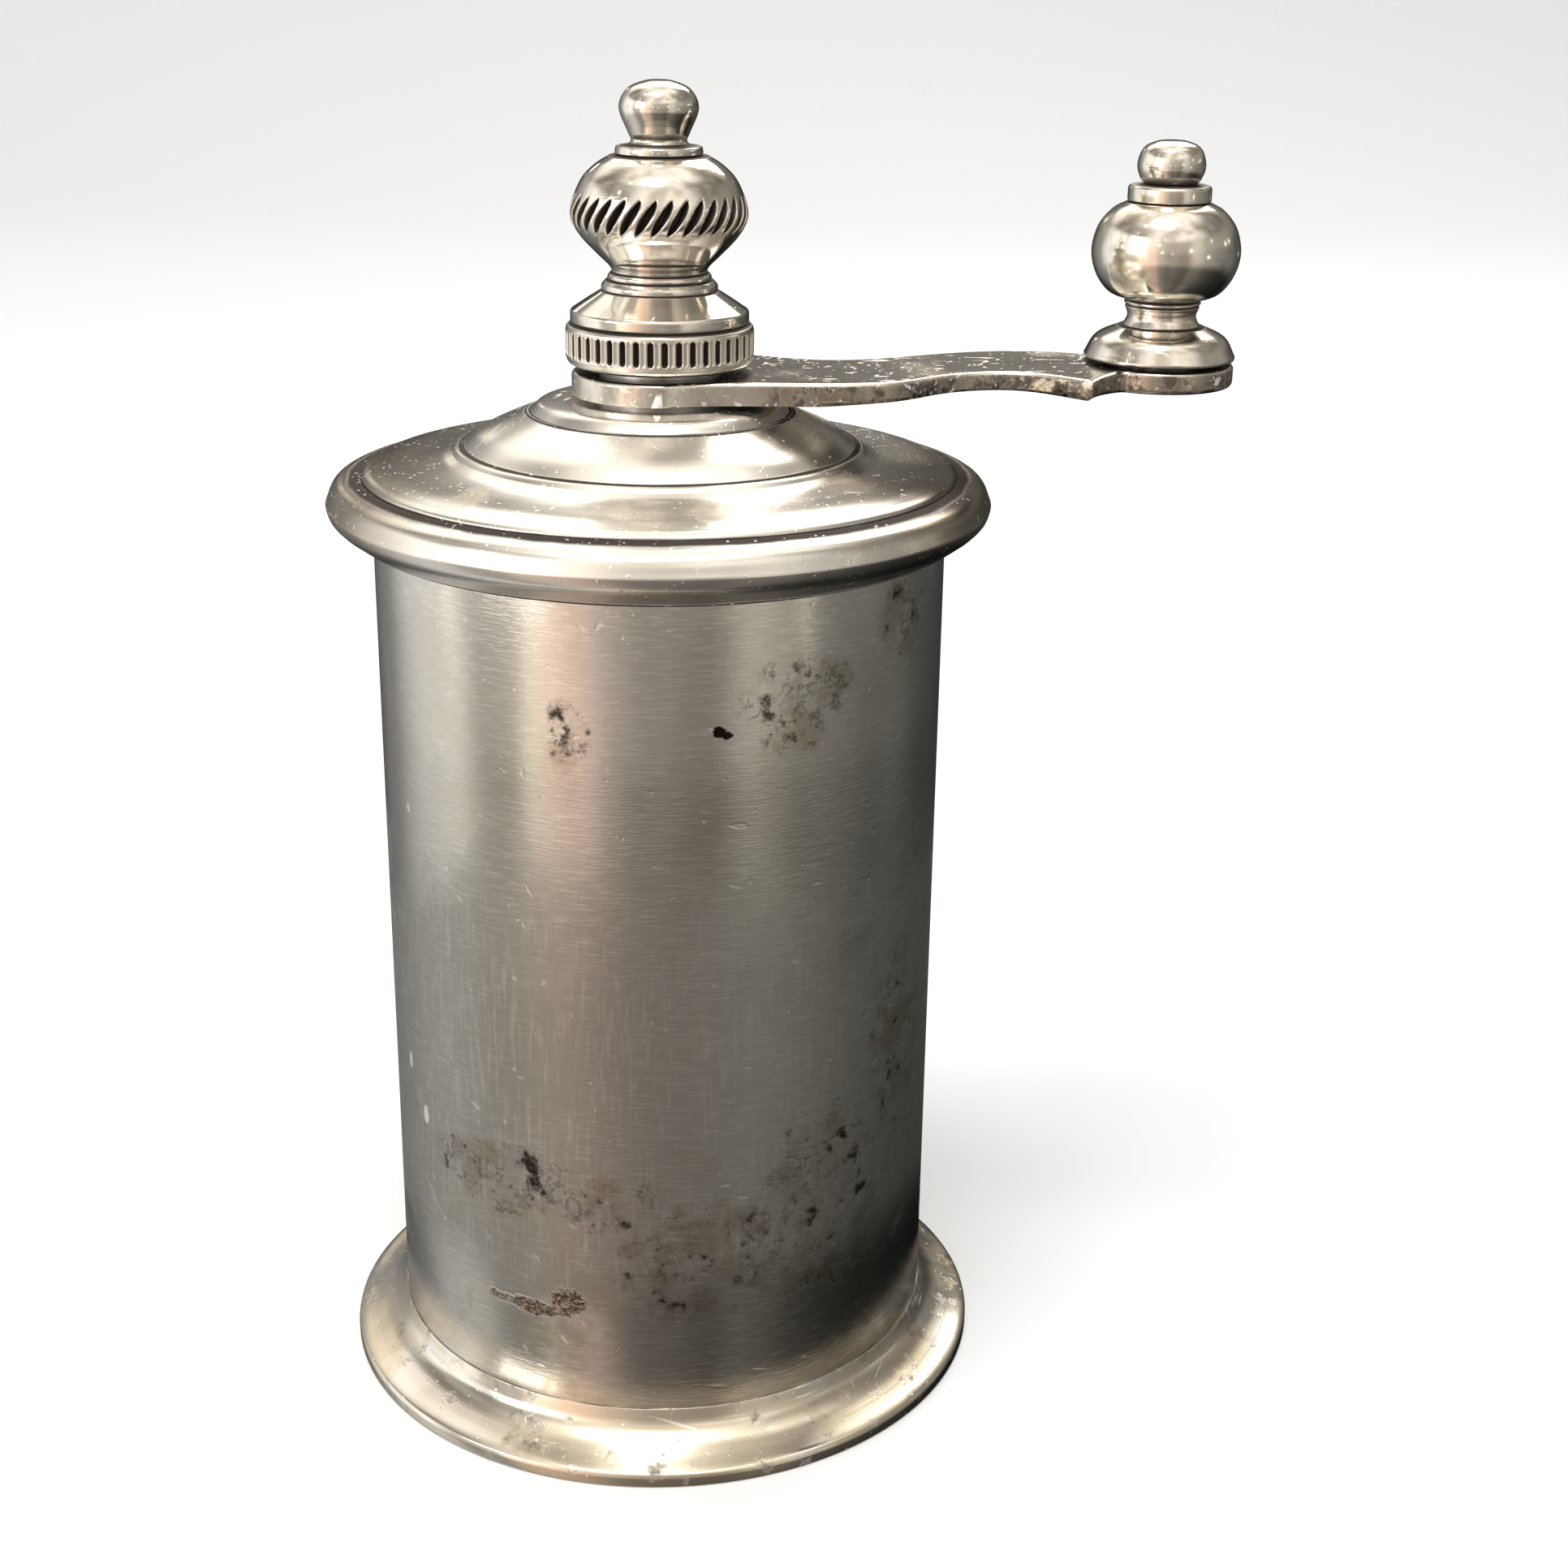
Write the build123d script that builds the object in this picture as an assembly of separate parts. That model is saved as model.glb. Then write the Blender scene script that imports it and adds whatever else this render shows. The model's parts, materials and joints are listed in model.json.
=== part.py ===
"""A crank pepper mill: a silver-plated barrel on a flared foot, a stepped lid, an S-shaped crank with a
turning knob, a knurled grind-setting ring locked by a finial nut, and a steel burr mill inside.

Millimetres, +Z up. The origin is the centre of the foot's resting face, and the crank points along +X.
"""

from build123d import *
import math
import os

# ---- Driving dimensions -------------------------------------------------------------------------
BARREL_R = 24.0  # outside of the barrel
BARREL_WALL = 0.9
BARREL_TOP = 76.35  # where the lid's shoulder rests
FOOT_R = 28.66
FOOT_EDGE_H = 1.1  # the foot's upright outer edge
FOOT_H = 4.6  # top of the foot's cove, on the barrel

LID_R = 27.75
LID_EDGE_Z = 78.5  # the crisp edge between the rim's round top and its sloping underside
LID_BOTTOM = 75.5
LID_TOP = 86.8

CRANK_L = 43.0  # from the shaft's axis to the knob's axis
CRANK_BOTTOM = 87.2
CRANK_T = 1.85
HUB_R = 7.3
CRANK_END_R = 6.35
SCOOP = 0.35  # how much thinner the arm is at its middle, taken off its underside
SCOOP_R = 240.0

RING_BOTTOM = 89.6
RING_H = 3.4
RING_R = 7.75
RING_TEETH = 42
KNURL_DEPTH = 0.6

FINIAL_SKIRT_R = 7.33
FINIAL_BALL_R = 7.19
FINIAL_BALL_Z = 101.8
FINIAL_TOP = 106.2  # flat under the tip's collar
TIP_TOP = 112.0
ROPE_CUTS = 34

KNOB_BASE_R = 6.4
KNOB_BALL_R = 6.25

SHAFT_R = 3.0
SQUARE = 4.2  # across the flats of the shaft's two squares
THREAD_R = 2.0
SHAFT_TOP = 100.0
RUNNING = 0.05  # radial clearance of a running or threaded fit
LIFT = 1.05  # how far the grind setting raises the shaft

PLATE_BOTTOM = 6.4
PLATE_T = 1.6
STATOR_R = 11.5
STATOR_BOTTOM = 4.6
STATOR_TOP = 12.6
HEAD_BOTTOM = 4.6
HEAD_TOP = 13.4
BURR_TEETH = 30

BRIDGE_BOTTOM = 24.0
BRIDGE_T = 1.6
WASHER_T = 0.8

# ---- Sizes that follow ----------------------------------------------------------------------------
BARREL_IN = BARREL_R - BARREL_WALL
CRANK_TOP = CRANK_BOTTOM + CRANK_T
RING_TOP = RING_BOTTOM + RING_H
PLATE_TOP = PLATE_BOTTOM + PLATE_T
THRUST_TOP = HEAD_TOP + WASHER_T
SQUARE_TOP = RING_BOTTOM - LIFT - 0.1  # the upper square stays below the ring when the shaft is raised
ROUND_TOP = CRANK_BOTTOM - LIFT - 0.1  # and the round shaft stays below the crank's square hole
KNOB_BOTTOM = CRANK_TOP + 0.3
KNOB_TOP = 102.35


# ---- Helpers ----------------------------------------------------------------------------------------
def turned(start, *steps):
    """A solid of revolution about Z. Each step goes to a point (r, z), or along an arc or curve through
    the points listed before the last one."""
    edges = []
    here = start
    for step in steps:
        if isinstance(step[0], tuple):
            points = [here, *step]
            edges.append(ThreePointArc(*points) if len(points) == 3 else Spline(*points))
            here = step[-1]
        else:
            edges.append(Line(here, step))
            here = step
    edges.append(Line(here, start))
    outline = make_face(Curve() + [Plane.XZ * edge for edge in edges])
    return revolve(outline, axis=Axis.Z)


def drum(outer, bottom, top, bore=0.0):
    """A plain round disc or sleeve on the Z axis, bored if asked."""
    body = Pos(0, 0, bottom) * Cylinder(outer, top - bottom, align=(Align.CENTER, Align.CENTER, Align.MIN))
    if bore:
        body -= Pos(0, 0, bottom - 1) * Cylinder(
            bore, top - bottom + 2, align=(Align.CENTER, Align.CENTER, Align.MIN)
        )
    return body


def square_bar(width, bottom, top):
    """An upright square bar on the Z axis."""
    return Pos(0, 0, bottom) * Box(width, width, top - bottom, align=(Align.CENTER, Align.CENTER, Align.MIN))


def round_about(count, radius, shape, start=0.0):
    """Copies of a shape spaced round the Z axis."""
    return [
        Rot(0, 0, start + 360 * k / count) * (Pos(radius, 0, 0) * shape)
        for k in range(count)
    ]


def star(count, root, tip, z, turn=0.0):
    """A closed star outline of pointed teeth, at height z, turned by an angle in degrees."""
    corners = []
    for k in range(2 * count):
        r = tip if k % 2 else root
        a = math.radians(turn) + math.pi * k / count
        corners.append((r * math.cos(a), r * math.sin(a)))
    return Pos(0, 0, z) * make_face(Polyline(*corners, close=True))


# ---- Barrel and foot --------------------------------------------------------------------------------
def body_tube():
    """The plain drawn barrel, standing on the foot's inner lip."""
    tube = drum(BARREL_R, 1.5, BARREL_TOP, bore=BARREL_IN)
    return fillet(tube.edges().group_by(Axis.Z)[-1], 0.25)


def foot_ring():
    """The spun foot: a cove that flows out from the barrel to a rounded rim with an upright edge."""
    lip = BARREL_R - 1.8
    return turned(
        (lip, 0),
        (FOOT_R - 0.15, 0),
        (FOOT_R, 0.15),
        (FOOT_R, FOOT_EDGE_H - 0.2),
        ((FOOT_R - 0.12, FOOT_EDGE_H + 0.12), (FOOT_R - 0.5, FOOT_EDGE_H + 0.3)),
        (
            (FOOT_R - 1.9, FOOT_EDGE_H + 0.75),
            (FOOT_R - 3.2, 2.4),
            (BARREL_R + 0.45, 3.3),
            (BARREL_R + 0.06, FOOT_H),
        ),
        (BARREL_R, FOOT_H),
        (BARREL_R, 1.5),
        (lip, 1.5),
    )


# ---- Burr mill ----------------------------------------------------------------------------------------
SEAT_IN = 19.0
SCREW_CIRCLE_R = 21.0
BRIDGE_LEG_X = 13.2
BRIDGE_W = 7.0
BRIDGE_FOOT_X = 18.6
BRIDGE_SCREW_X = 16.8


def seat_ring():
    """A brass ring soldered inside the barrel, tapped for the three plate screws."""
    ring = drum(BARREL_IN, PLATE_TOP, PLATE_TOP + 2.5, bore=SEAT_IN)
    for hole in round_about(3, SCREW_CIRCLE_R, drum(1.0, PLATE_TOP - 1, PLATE_TOP + 2.0), start=90):
        ring -= hole
    return ring


def mechanism_plate():
    """The steel disc that carries the burrs, screwed up against the seat ring from below."""
    plate = drum(BARREL_IN - 0.1, PLATE_BOTTOM, PLATE_TOP, bore=STATOR_R)
    for hole in round_about(3, SCREW_CIRCLE_R, drum(1.0, PLATE_BOTTOM - 1, PLATE_TOP + 1), start=90):
        plate -= hole
    for hole in round_about(2, BRIDGE_SCREW_X, drum(0.9, PLATE_BOTTOM - 1, PLATE_TOP + 1)):
        plate -= hole
    return plate


def slotted_screw(shank_r, head_r, head_h, reach, slot=0.5):
    """A screw that points up from z = 0, its slotted head hanging below."""
    head = turned(
        (0, -head_h),
        (head_r - 0.3, -head_h),
        ((head_r - 0.08, -head_h + 0.08), (head_r, -head_h + 0.3)),
        (head_r, 0),
        (0, 0),
    )
    head -= Pos(0, 0, -head_h) * Box(2 * head_r + 1, slot, head_h)
    return head + drum(shank_r, -0.01, reach)


def plate_screws():
    """Three screws that hold the plate to the seat ring."""
    screw = Pos(0, 0, PLATE_BOTTOM) * slotted_screw(1.0, 1.9, 1.2, PLATE_T + 2.0)
    return round_about(3, SCREW_CIRCLE_R, screw, start=90)


def grinding_ring():
    """The fixed outer burr: a flanged steel ring whose toothed bore widens downwards."""
    ring = drum(STATOR_R, STATOR_BOTTOM, STATOR_TOP) + drum(12.9, PLATE_TOP, PLATE_TOP + 1.2)
    bore = loft(
        [
            star(BURR_TEETH, 9.7, 10.5, STATOR_BOTTOM),
            star(BURR_TEETH, 7.7, 8.6, STATOR_TOP, turn=14),
        ],
        ruled=True,
    )
    return ring - bore


def grinding_head():
    """The turning inner burr: fine teeth below, seven deep flutes above that crack and draw in the corns."""
    fine_top = 8.2
    fine = loft(
        [
            star(BURR_TEETH, 8.5, 9.2, HEAD_BOTTOM),
            star(BURR_TEETH, 7.7, 8.4, fine_top, turn=-8),
        ],
        ruled=True,
    )
    coarse = loft(
        [
            star(7, 5.2, 8.1, fine_top),
            star(7, 3.9, 5.6, HEAD_TOP, turn=-38),
        ],
        ruled=True,
    )
    return fine + coarse - square_bar(SQUARE + 2 * RUNNING, HEAD_BOTTOM - 1, HEAD_TOP + 1)


def bearing_bridge():
    """A bent strap over the burrs that steadies the shaft and holds the spring down."""
    top = BRIDGE_BOTTOM + BRIDGE_T
    outer_x = BRIDGE_LEG_X + BRIDGE_T
    outline = Polyline(
        (-BRIDGE_FOOT_X, PLATE_TOP),
        (-BRIDGE_LEG_X, PLATE_TOP),
        (-BRIDGE_LEG_X, BRIDGE_BOTTOM),
        (BRIDGE_LEG_X, BRIDGE_BOTTOM),
        (BRIDGE_LEG_X, PLATE_TOP),
        (BRIDGE_FOOT_X, PLATE_TOP),
        (BRIDGE_FOOT_X, PLATE_TOP + BRIDGE_T),
        (outer_x, PLATE_TOP + BRIDGE_T),
        (outer_x, top),
        (-outer_x, top),
        (-outer_x, PLATE_TOP + BRIDGE_T),
        (-BRIDGE_FOOT_X, PLATE_TOP + BRIDGE_T),
        close=True,
    )
    strap = extrude(Plane.XZ * make_face(outline), BRIDGE_W / 2, both=True)
    corners = [e for e in strap.edges().filter_by(Axis.Y) if abs(abs(e.center().X) - outer_x) < 0.1]
    strap = fillet([e for e in corners if e.center().Z > BRIDGE_BOTTOM], 1.2)
    strap -= drum(SHAFT_R + RUNNING, BRIDGE_BOTTOM - 1, top + 1)
    for hole in round_about(2, BRIDGE_SCREW_X, drum(0.9, PLATE_TOP - 1, PLATE_TOP + BRIDGE_T + 1)):
        strap -= hole
    return strap


def bridge_screws():
    """Two screws that hold the strap's feet to the plate."""
    screw = Rot(180, 0, 0) * slotted_screw(0.9, 1.5, 1.1, PLATE_T + BRIDGE_T)
    return round_about(2, BRIDGE_SCREW_X, Pos(0, 0, PLATE_TOP + BRIDGE_T) * screw)


def spring():
    """The coil that presses the burrs apart, between the thrust washer and the bridge."""
    wire_r = 0.45
    coil_r = 4.3
    bottom = THRUST_TOP + wire_r + 0.05
    height = BRIDGE_BOTTOM - wire_r - 0.05 - bottom
    path = Pos(0, 0, bottom) * Helix(pitch=height / 6, height=height, radius=coil_r)
    section = Plane(origin=path @ 0, z_dir=path % 0) * Circle(wire_r)
    return sweep(section, path=path, is_frenet=True)


def thrust_washer():
    return drum(5.6, HEAD_TOP, THRUST_TOP, bore=SHAFT_R + 0.1)


def drive_shaft():
    """The steel shaft: a square for the burr, a long round run, a square for the crank, then a thread."""
    thread_tip = turned(
        (0, SQUARE_TOP),
        (THREAD_R, SQUARE_TOP),
        (THREAD_R, SHAFT_TOP - 0.5),
        (THREAD_R - 0.5, SHAFT_TOP),
        (0, SHAFT_TOP),
    )
    shaft = square_bar(SQUARE, HEAD_BOTTOM, HEAD_TOP) + drum(SHAFT_R, HEAD_TOP, ROUND_TOP)
    shaft += square_bar(SQUARE, ROUND_TOP, SQUARE_TOP)
    shaft += thread_tip
    return shaft - drum(1.2, HEAD_BOTTOM - 1, HEAD_BOTTOM + 5.5)


def head_washer():
    return drum(4.6, HEAD_BOTTOM - 0.7, HEAD_BOTTOM, bore=1.3)


def head_screw():
    """The screw in the shaft's lower end that keeps the burr on its square."""
    return Pos(0, 0, HEAD_BOTTOM - 0.7) * slotted_screw(1.2, 2.5, 1.5, 5.7, slot=0.7)


# ---- Lid ------------------------------------------------------------------------------------------------
LID_HOLE_R = 5.0
LID_INSIDE_TOP = 85.4


def lid():
    """The spun lid: a round-topped rim, then two stepped ogees and a collar that rise to the shaft."""
    groove = 24.85
    shell = turned(
        (22.0, BARREL_TOP),
        (BARREL_R + 0.15, BARREL_TOP),
        (BARREL_R + 0.15, LID_BOTTOM),
        (BARREL_R + 0.3, LID_BOTTOM),
        ((25.2, 75.85), (26.9, 77.05)),
        ((27.5, 77.7), (LID_R, LID_EDGE_Z)),
        ((26.95, 80.05), (groove + 0.1, 80.72)),
        (groove - 0.1, 80.55),
        ((groove - 0.25, 80.95), (groove - 0.75, 81.2)),
        ((22.4, 81.6), (20.0, 81.82), (18.3, 82.12), (17.3, 82.55)),
        ((16.95, 82.85), (16.5, 83.0)),
        (16.35, 82.95),
        ((14.9, 84.0), (12.9, 84.95), (10.95, 85.78)),
        (10.8, 85.66),
        ((9.9, 86.5), (8.3, LID_TOP)),
        (LID_HOLE_R, LID_TOP),
        (LID_HOLE_R, LID_INSIDE_TOP),
        (9.0, LID_INSIDE_TOP - 0.1),
        (13.6, 82.9),
        (15.4, 81.4),
        (21.0, 80.3),
        (22.0, 79.5),
    )
    return shell


def lid_collar():
    """The ring under the lid that drops inside the barrel and keeps the lid centred."""
    inner, outer, bottom = 22.0, BARREL_IN - 0.2, 71.5
    return turned(
        (inner, bottom),
        (outer - 0.3, bottom),
        (outer, bottom + 0.6),
        (outer, BARREL_TOP),
        (inner, BARREL_TOP),
    )


def lid_bush():
    """The brass bearing soldered up into the lid, flanged against its underside."""
    bush = drum(LID_HOLE_R, 79.5, LID_TOP) + drum(7.0, LID_INSIDE_TOP - 1.1, LID_INSIDE_TOP - 0.1)
    return bush - drum(SHAFT_R + RUNNING, 78.5, LID_TOP + 1)


# ---- Crank ----------------------------------------------------------------------------------------------
def hub_washer():
    return drum(5.2, LID_TOP, CRANK_BOTTOM, bore=SHAFT_R + 0.1)


def on_circle(radius, angle, x=0.0):
    """A point on a circle centred on the X axis."""
    a = math.radians(angle)
    return (x + radius * math.cos(a), radius * math.sin(a))


def crank_arm():
    """The S-shaped flat arm, cut from plate: a round hub, a waved strip that ends in a cusp, a round end."""
    near_root, far_root = on_circle(HUB_R, -95), on_circle(HUB_R, 85)
    near_end = on_circle(CRANK_END_R, 225, CRANK_L)
    far_end = on_circle(CRANK_END_R, 140, CRANK_L)
    cusp = (34.4, -8.9)
    near_swell = [(10.0, -7.75), (14.8, -8.2), (18.6, -7.6), (22.5, -5.3)]
    near_waist = [(26.4, -4.0), (29.6, -4.3), (32.4, -6.6)]
    far_swell = [(35.0, 5.9), (30.5, 6.7), (23.5, 5.3)]
    far_waist = [(17.2, 3.5), (13.6, 3.9), (9.8, 6.1)]
    outline = [
        Spline(near_root, *near_swell, *near_waist, cusp),
        ThreePointArc(cusp, (36.0, -6.6), near_end),
        ThreePointArc(near_end, (CRANK_L + CRANK_END_R, 0), far_end),
        Spline(far_end, *far_swell, *far_waist, far_root),
        ThreePointArc(far_root, (-HUB_R, 0), near_root),
    ]
    plan = make_face(Curve() + outline)
    plan = fillet([v for v in plan.vertices() if v.X > 35], 0.6)
    arm = Pos(0, 0, CRANK_BOTTOM) * extrude(plan, CRANK_T)
    arm = fillet(arm.edges().group_by(Axis.Z)[-1], 0.4)
    scoop = Cylinder(SCOOP_R, 40, rotation=(90, 0, 0))
    arm -= Pos(CRANK_L * 0.58, 0, CRANK_BOTTOM + SCOOP - SCOOP_R) * scoop
    arm = fillet([e for e in arm.edges().group_by(Axis.Z)[0] if e.center().X > CRANK_L], 0.45)
    arm -= square_bar(SQUARE + 2 * RUNNING, CRANK_BOTTOM - 1, CRANK_TOP + 1)
    return arm - Pos(CRANK_L, 0, 0) * drum(1.6, CRANK_BOTTOM - 1, CRANK_TOP + 1)


def knob_spindle():
    """The shouldered pin the knob turns on, riveted under the arm and headed by a collar and a small ball."""
    collar = KNOB_TOP + 0.05
    pin = turned(
        (0, CRANK_BOTTOM - 0.7),
        (1.5, CRANK_BOTTOM - 0.7),
        ((2.2, CRANK_BOTTOM - 0.45), (2.4, CRANK_BOTTOM)),
        (1.6, CRANK_BOTTOM),
        (1.6, collar),
        (3.35, collar),
        ((3.48, collar + 0.12), (3.5, collar + 0.3)),
        (3.48, collar + 1.15),
        (3.3, collar + 1.35),
        (2.1, collar + 1.4),
        (
            (2.5, collar + 1.8),
            (2.85, collar + 2.95),
            (2.4, collar + 4.3),
            (1.3, collar + 4.88),
            (0, collar + 5.0),
        ),
    )
    return Pos(CRANK_L, 0, 0) * pin


def knob_washer():
    return Pos(CRANK_L, 0, 0) * drum(3.6, CRANK_TOP, KNOB_BOTTOM, bore=1.65)


def knob():
    """The turned grip: a domed base, a waisted neck with a bead, and an onion-shaped ball."""
    bore = 1.65
    grip = turned(
        (bore, KNOB_BOTTOM),
        (KNOB_BASE_R - 0.25, KNOB_BOTTOM),
        ((KNOB_BASE_R - 0.03, KNOB_BOTTOM + 0.1), (KNOB_BASE_R, KNOB_BOTTOM + 0.35)),
        ((5.5, 91.2), (3.55, 92.15)),
        (3.3, 92.1),
        ((2.9, 92.95), (3.15, 93.75)),
        (3.05, 93.85),
        ((3.25, 94.1), (3.05, 94.32)),
        (3.2, 94.35),
        ((4.7, 94.95), (5.8, 96.4), (KNOB_BALL_R, 98.3), (5.8, 100.3), (4.7, 101.7), (3.55, KNOB_TOP)),
        (bore, KNOB_TOP),
    )
    return Pos(CRANK_L, 0, 0) * grip


# ---- Setting ring and finial ------------------------------------------------------------------------------
def ring_washer():
    return drum(5.0, CRANK_TOP, RING_BOTTOM, bore=SHAFT_R + 0.1)


def wheel_cut(radius, half_angle, depth, reach):
    """The V-edged wheel that cuts one notch: a double cone standing on edge at the given radius."""
    side = reach * math.tan(math.radians(half_angle))
    wheel = turned((0, -side), (reach, 0), (0, side))
    return Pos(radius - depth + reach, 0, 0) * (Rot(90, 0, 0) * wheel)


def adjusting_ring():
    """The knurled nut that pulls the shaft up to set the grind."""
    ring = turned(
        (THREAD_R + RUNNING, RING_BOTTOM),
        (7.15, RING_BOTTOM),
        ((7.55, RING_BOTTOM + 0.25), (RING_R, RING_BOTTOM + 0.7)),
        (RING_R, RING_TOP - 0.65),
        ((RING_R - 0.12, RING_TOP - 0.25), (RING_R - 0.5, RING_TOP)),
        (THREAD_R + RUNNING, RING_TOP),
    )
    notch = Pos(RING_R, 0, RING_BOTTOM + 1.85) * Box(2 * KNURL_DEPTH, 0.62, 1.9)
    return ring - round_about(RING_TEETH, 0, notch)


def lock_washer():
    """A thin washer that stays in the recess under the finial nut."""
    return drum(4.5, RING_TOP, RING_TOP + 0.3, bore=THREAD_R + 0.1)


def finial_nut():
    """The finial: a skirt and stepped neck under a ball with slanting rope cuts, tapped from below."""
    nut = turned(
        (4.7, RING_TOP),
        (FINIAL_SKIRT_R, RING_TOP),
        (FINIAL_SKIRT_R, 93.8),
        ((7.25, 93.98), (7.0, 94.15)),
        ((6.1, 94.75), (4.75, 95.6)),
        ((4.75, 96.0), (4.4, 96.42)),
        (4.2, 96.42),
        ((4.25, 96.7), (4.05, 96.98)),
        (3.9, 97.0),
        ((3.95, 97.3), (4.2, 97.65)),
        (
            (5.2, 98.6),
            (6.38, 99.85),
            (7.13, FINIAL_BALL_Z - 0.65),
            (7.11, FINIAL_BALL_Z + 0.6),
            (6.3, 104.3),
            (5.2, 105.45),
            (4.0, FINIAL_TOP),
        ),
        (1.2, FINIAL_TOP),
        (1.2, 103.4),
        (0, 103.4),
        (0, SHAFT_TOP + 2.4),
        (THREAD_R + RUNNING, SHAFT_TOP + 1.6),
        (THREAD_R + RUNNING, RING_TOP + 0.3),
        (4.7, RING_TOP + 0.3),
    )
    cut = Pos(0, 0, FINIAL_BALL_Z + 0.1) * (Rot(30, 0, 0) * wheel_cut(FINIAL_BALL_R, 22, 0.9, 1.8))
    return nut - round_about(ROPE_CUTS, 0, cut)


def finial_tip():
    """The collar and egg-shaped tip, screwed down into the ball."""
    neck = FINIAL_TOP + 0.8
    return turned(
        (0, 103.6),
        (1.2, 103.6),
        (1.2, FINIAL_TOP),
        (3.4, FINIAL_TOP),
        ((3.53, FINIAL_TOP + 0.12), (3.55, FINIAL_TOP + 0.3)),
        (3.5, FINIAL_TOP + 0.65),
        (3.35, neck - 0.05),
        (2.6, neck),
        ((2.25, neck + 0.35), (2.45, neck + 0.85)),
        ((3.2, 109.85), (2.55, 111.3), (1.1, TIP_TOP - 0.06), (0, TIP_TOP)),
    )


# ---- The whole mill ---------------------------------------------------------------------------------
PARTS = [
    body_tube,
    foot_ring,
    seat_ring,
    mechanism_plate,
    plate_screws,
    grinding_ring,
    bearing_bridge,
    bridge_screws,
    spring,
    thrust_washer,
    drive_shaft,
    grinding_head,
    head_washer,
    head_screw,
    lid,
    lid_collar,
    lid_bush,
    hub_washer,
    crank_arm,
    knob_spindle,
    knob_washer,
    knob,
    ring_washer,
    adjusting_ring,
    lock_washer,
    finial_nut,
    finial_tip,
]

os.makedirs("parts", exist_ok=True)
for make in PARTS:
    made = make()
    solids = made if isinstance(made, list) else [made]
    shape = Compound(children=[piece for one in solids for piece in one.solids()])
    export_step(shape, f"parts/{make.__name__}.step")
    print(make.__name__, len(shape.solids()), round(shape.volume, 1))
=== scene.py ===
# %% [markdown]
# # A crank pepper mill, cell by cell
# The mill is silver plate that has been used for years: a plain satin barrel, and around it bright turned
# parts with dirt left in their grooves. The solid model comes in first and is never moved. Everything made
# here is laid over it, in metres, in the same frame: +Z up along the shaft, +X along the crank.

# %% Load the solid model
import json
import math

import bmesh
import bpy
from mathutils import Matrix, Vector


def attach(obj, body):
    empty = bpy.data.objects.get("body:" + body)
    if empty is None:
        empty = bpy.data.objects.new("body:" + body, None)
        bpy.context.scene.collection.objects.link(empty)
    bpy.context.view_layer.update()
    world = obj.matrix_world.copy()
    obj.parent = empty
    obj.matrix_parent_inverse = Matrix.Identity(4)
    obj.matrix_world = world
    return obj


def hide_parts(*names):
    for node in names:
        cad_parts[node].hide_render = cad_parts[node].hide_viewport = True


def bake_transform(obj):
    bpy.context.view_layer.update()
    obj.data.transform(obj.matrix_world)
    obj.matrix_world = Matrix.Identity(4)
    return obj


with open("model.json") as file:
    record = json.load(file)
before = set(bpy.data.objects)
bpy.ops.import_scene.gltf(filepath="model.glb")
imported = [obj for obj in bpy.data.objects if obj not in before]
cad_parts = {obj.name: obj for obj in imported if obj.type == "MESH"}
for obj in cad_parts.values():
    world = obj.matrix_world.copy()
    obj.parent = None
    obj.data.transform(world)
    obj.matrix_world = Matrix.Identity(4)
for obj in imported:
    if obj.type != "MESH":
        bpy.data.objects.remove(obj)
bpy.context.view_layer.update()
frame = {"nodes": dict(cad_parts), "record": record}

MM = 0.001

# %% [markdown]
# ## The camera
# A short telephoto lens looks down on the mill by about twenty degrees, from a little to the left of the
# front. The camera's three axes are written out, because a small roll is easier to read that way than as
# angles.

# %% Camera
CAMERA_AT = Vector((-0.0237, -0.1901, 0.1222))
HEADING, DOWN, ROLL = 0.1801, 0.3482, 0.0145


def aim(heading, down, roll):
    """The camera's turn: heading from +Y towards +X, then down, then roll."""
    level = Vector((math.sin(heading), math.cos(heading), 0))
    side = Vector((math.cos(heading), -math.sin(heading), 0))
    up = Vector((0, 0, 1))
    forward = level * math.cos(down) - up * math.sin(down)
    tilted = up * math.cos(down) + level * math.sin(down)
    right = side * math.cos(roll) + tilted * math.sin(roll)
    top = tilted * math.cos(roll) - side * math.sin(roll)
    return Matrix((right, top, -forward)).transposed()


lens = bpy.data.cameras.new("camera")
lens.sensor_width = 36.0
lens.lens = 53.107
lens.clip_start = 0.005
camera = bpy.data.objects.new("camera", lens)
camera.matrix_world = Matrix.Translation(CAMERA_AT) @ aim(HEADING, DOWN, ROLL).to_4x4()
bpy.context.scene.collection.objects.link(camera)
bpy.context.scene.camera = camera
print("camera at", tuple(round(v, 3) for v in CAMERA_AT))

# %% [markdown]
# ## The room
# Polished metal is a picture of what is around it. A pale floor alone would make every part of the mill
# white, so the floor is hidden from mirror reflections, and the metal sees a room painted on the world
# instead. It has tall bright windows at the left, a dark right side and back, a dimmer table below, a
# ceiling that is light in front and behind but dim at the sides, and a few small lamps. The walls are a ramp
# round the room: 0 is behind the mill, a quarter is its left, a half its front and three quarters its right.

# %% Node helpers
def node(tree, kind, inputs=None, **settings):
    """Adds a node. An input is a value, or the output socket it is joined to."""
    made = tree.nodes.new(kind)
    for name, value in settings.items():
        setattr(made, name, value)
    for key, value in (inputs or {}).items():
        if isinstance(value, bpy.types.NodeSocket):
            tree.links.new(value, made.inputs[key])
        else:
            made.inputs[key].default_value = value
    return made


def calc(tree, operation, *values):
    """One Math node's answer."""
    made = node(tree, "ShaderNodeMath", dict(enumerate(values)), operation=operation)
    return made.outputs[0]


def plus(tree, first, second):
    """The sum of two values."""
    return calc(tree, "ADD", first, second)


def minus(tree, first, second):
    """The first value less the second."""
    return calc(tree, "SUBTRACT", first, second)


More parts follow.
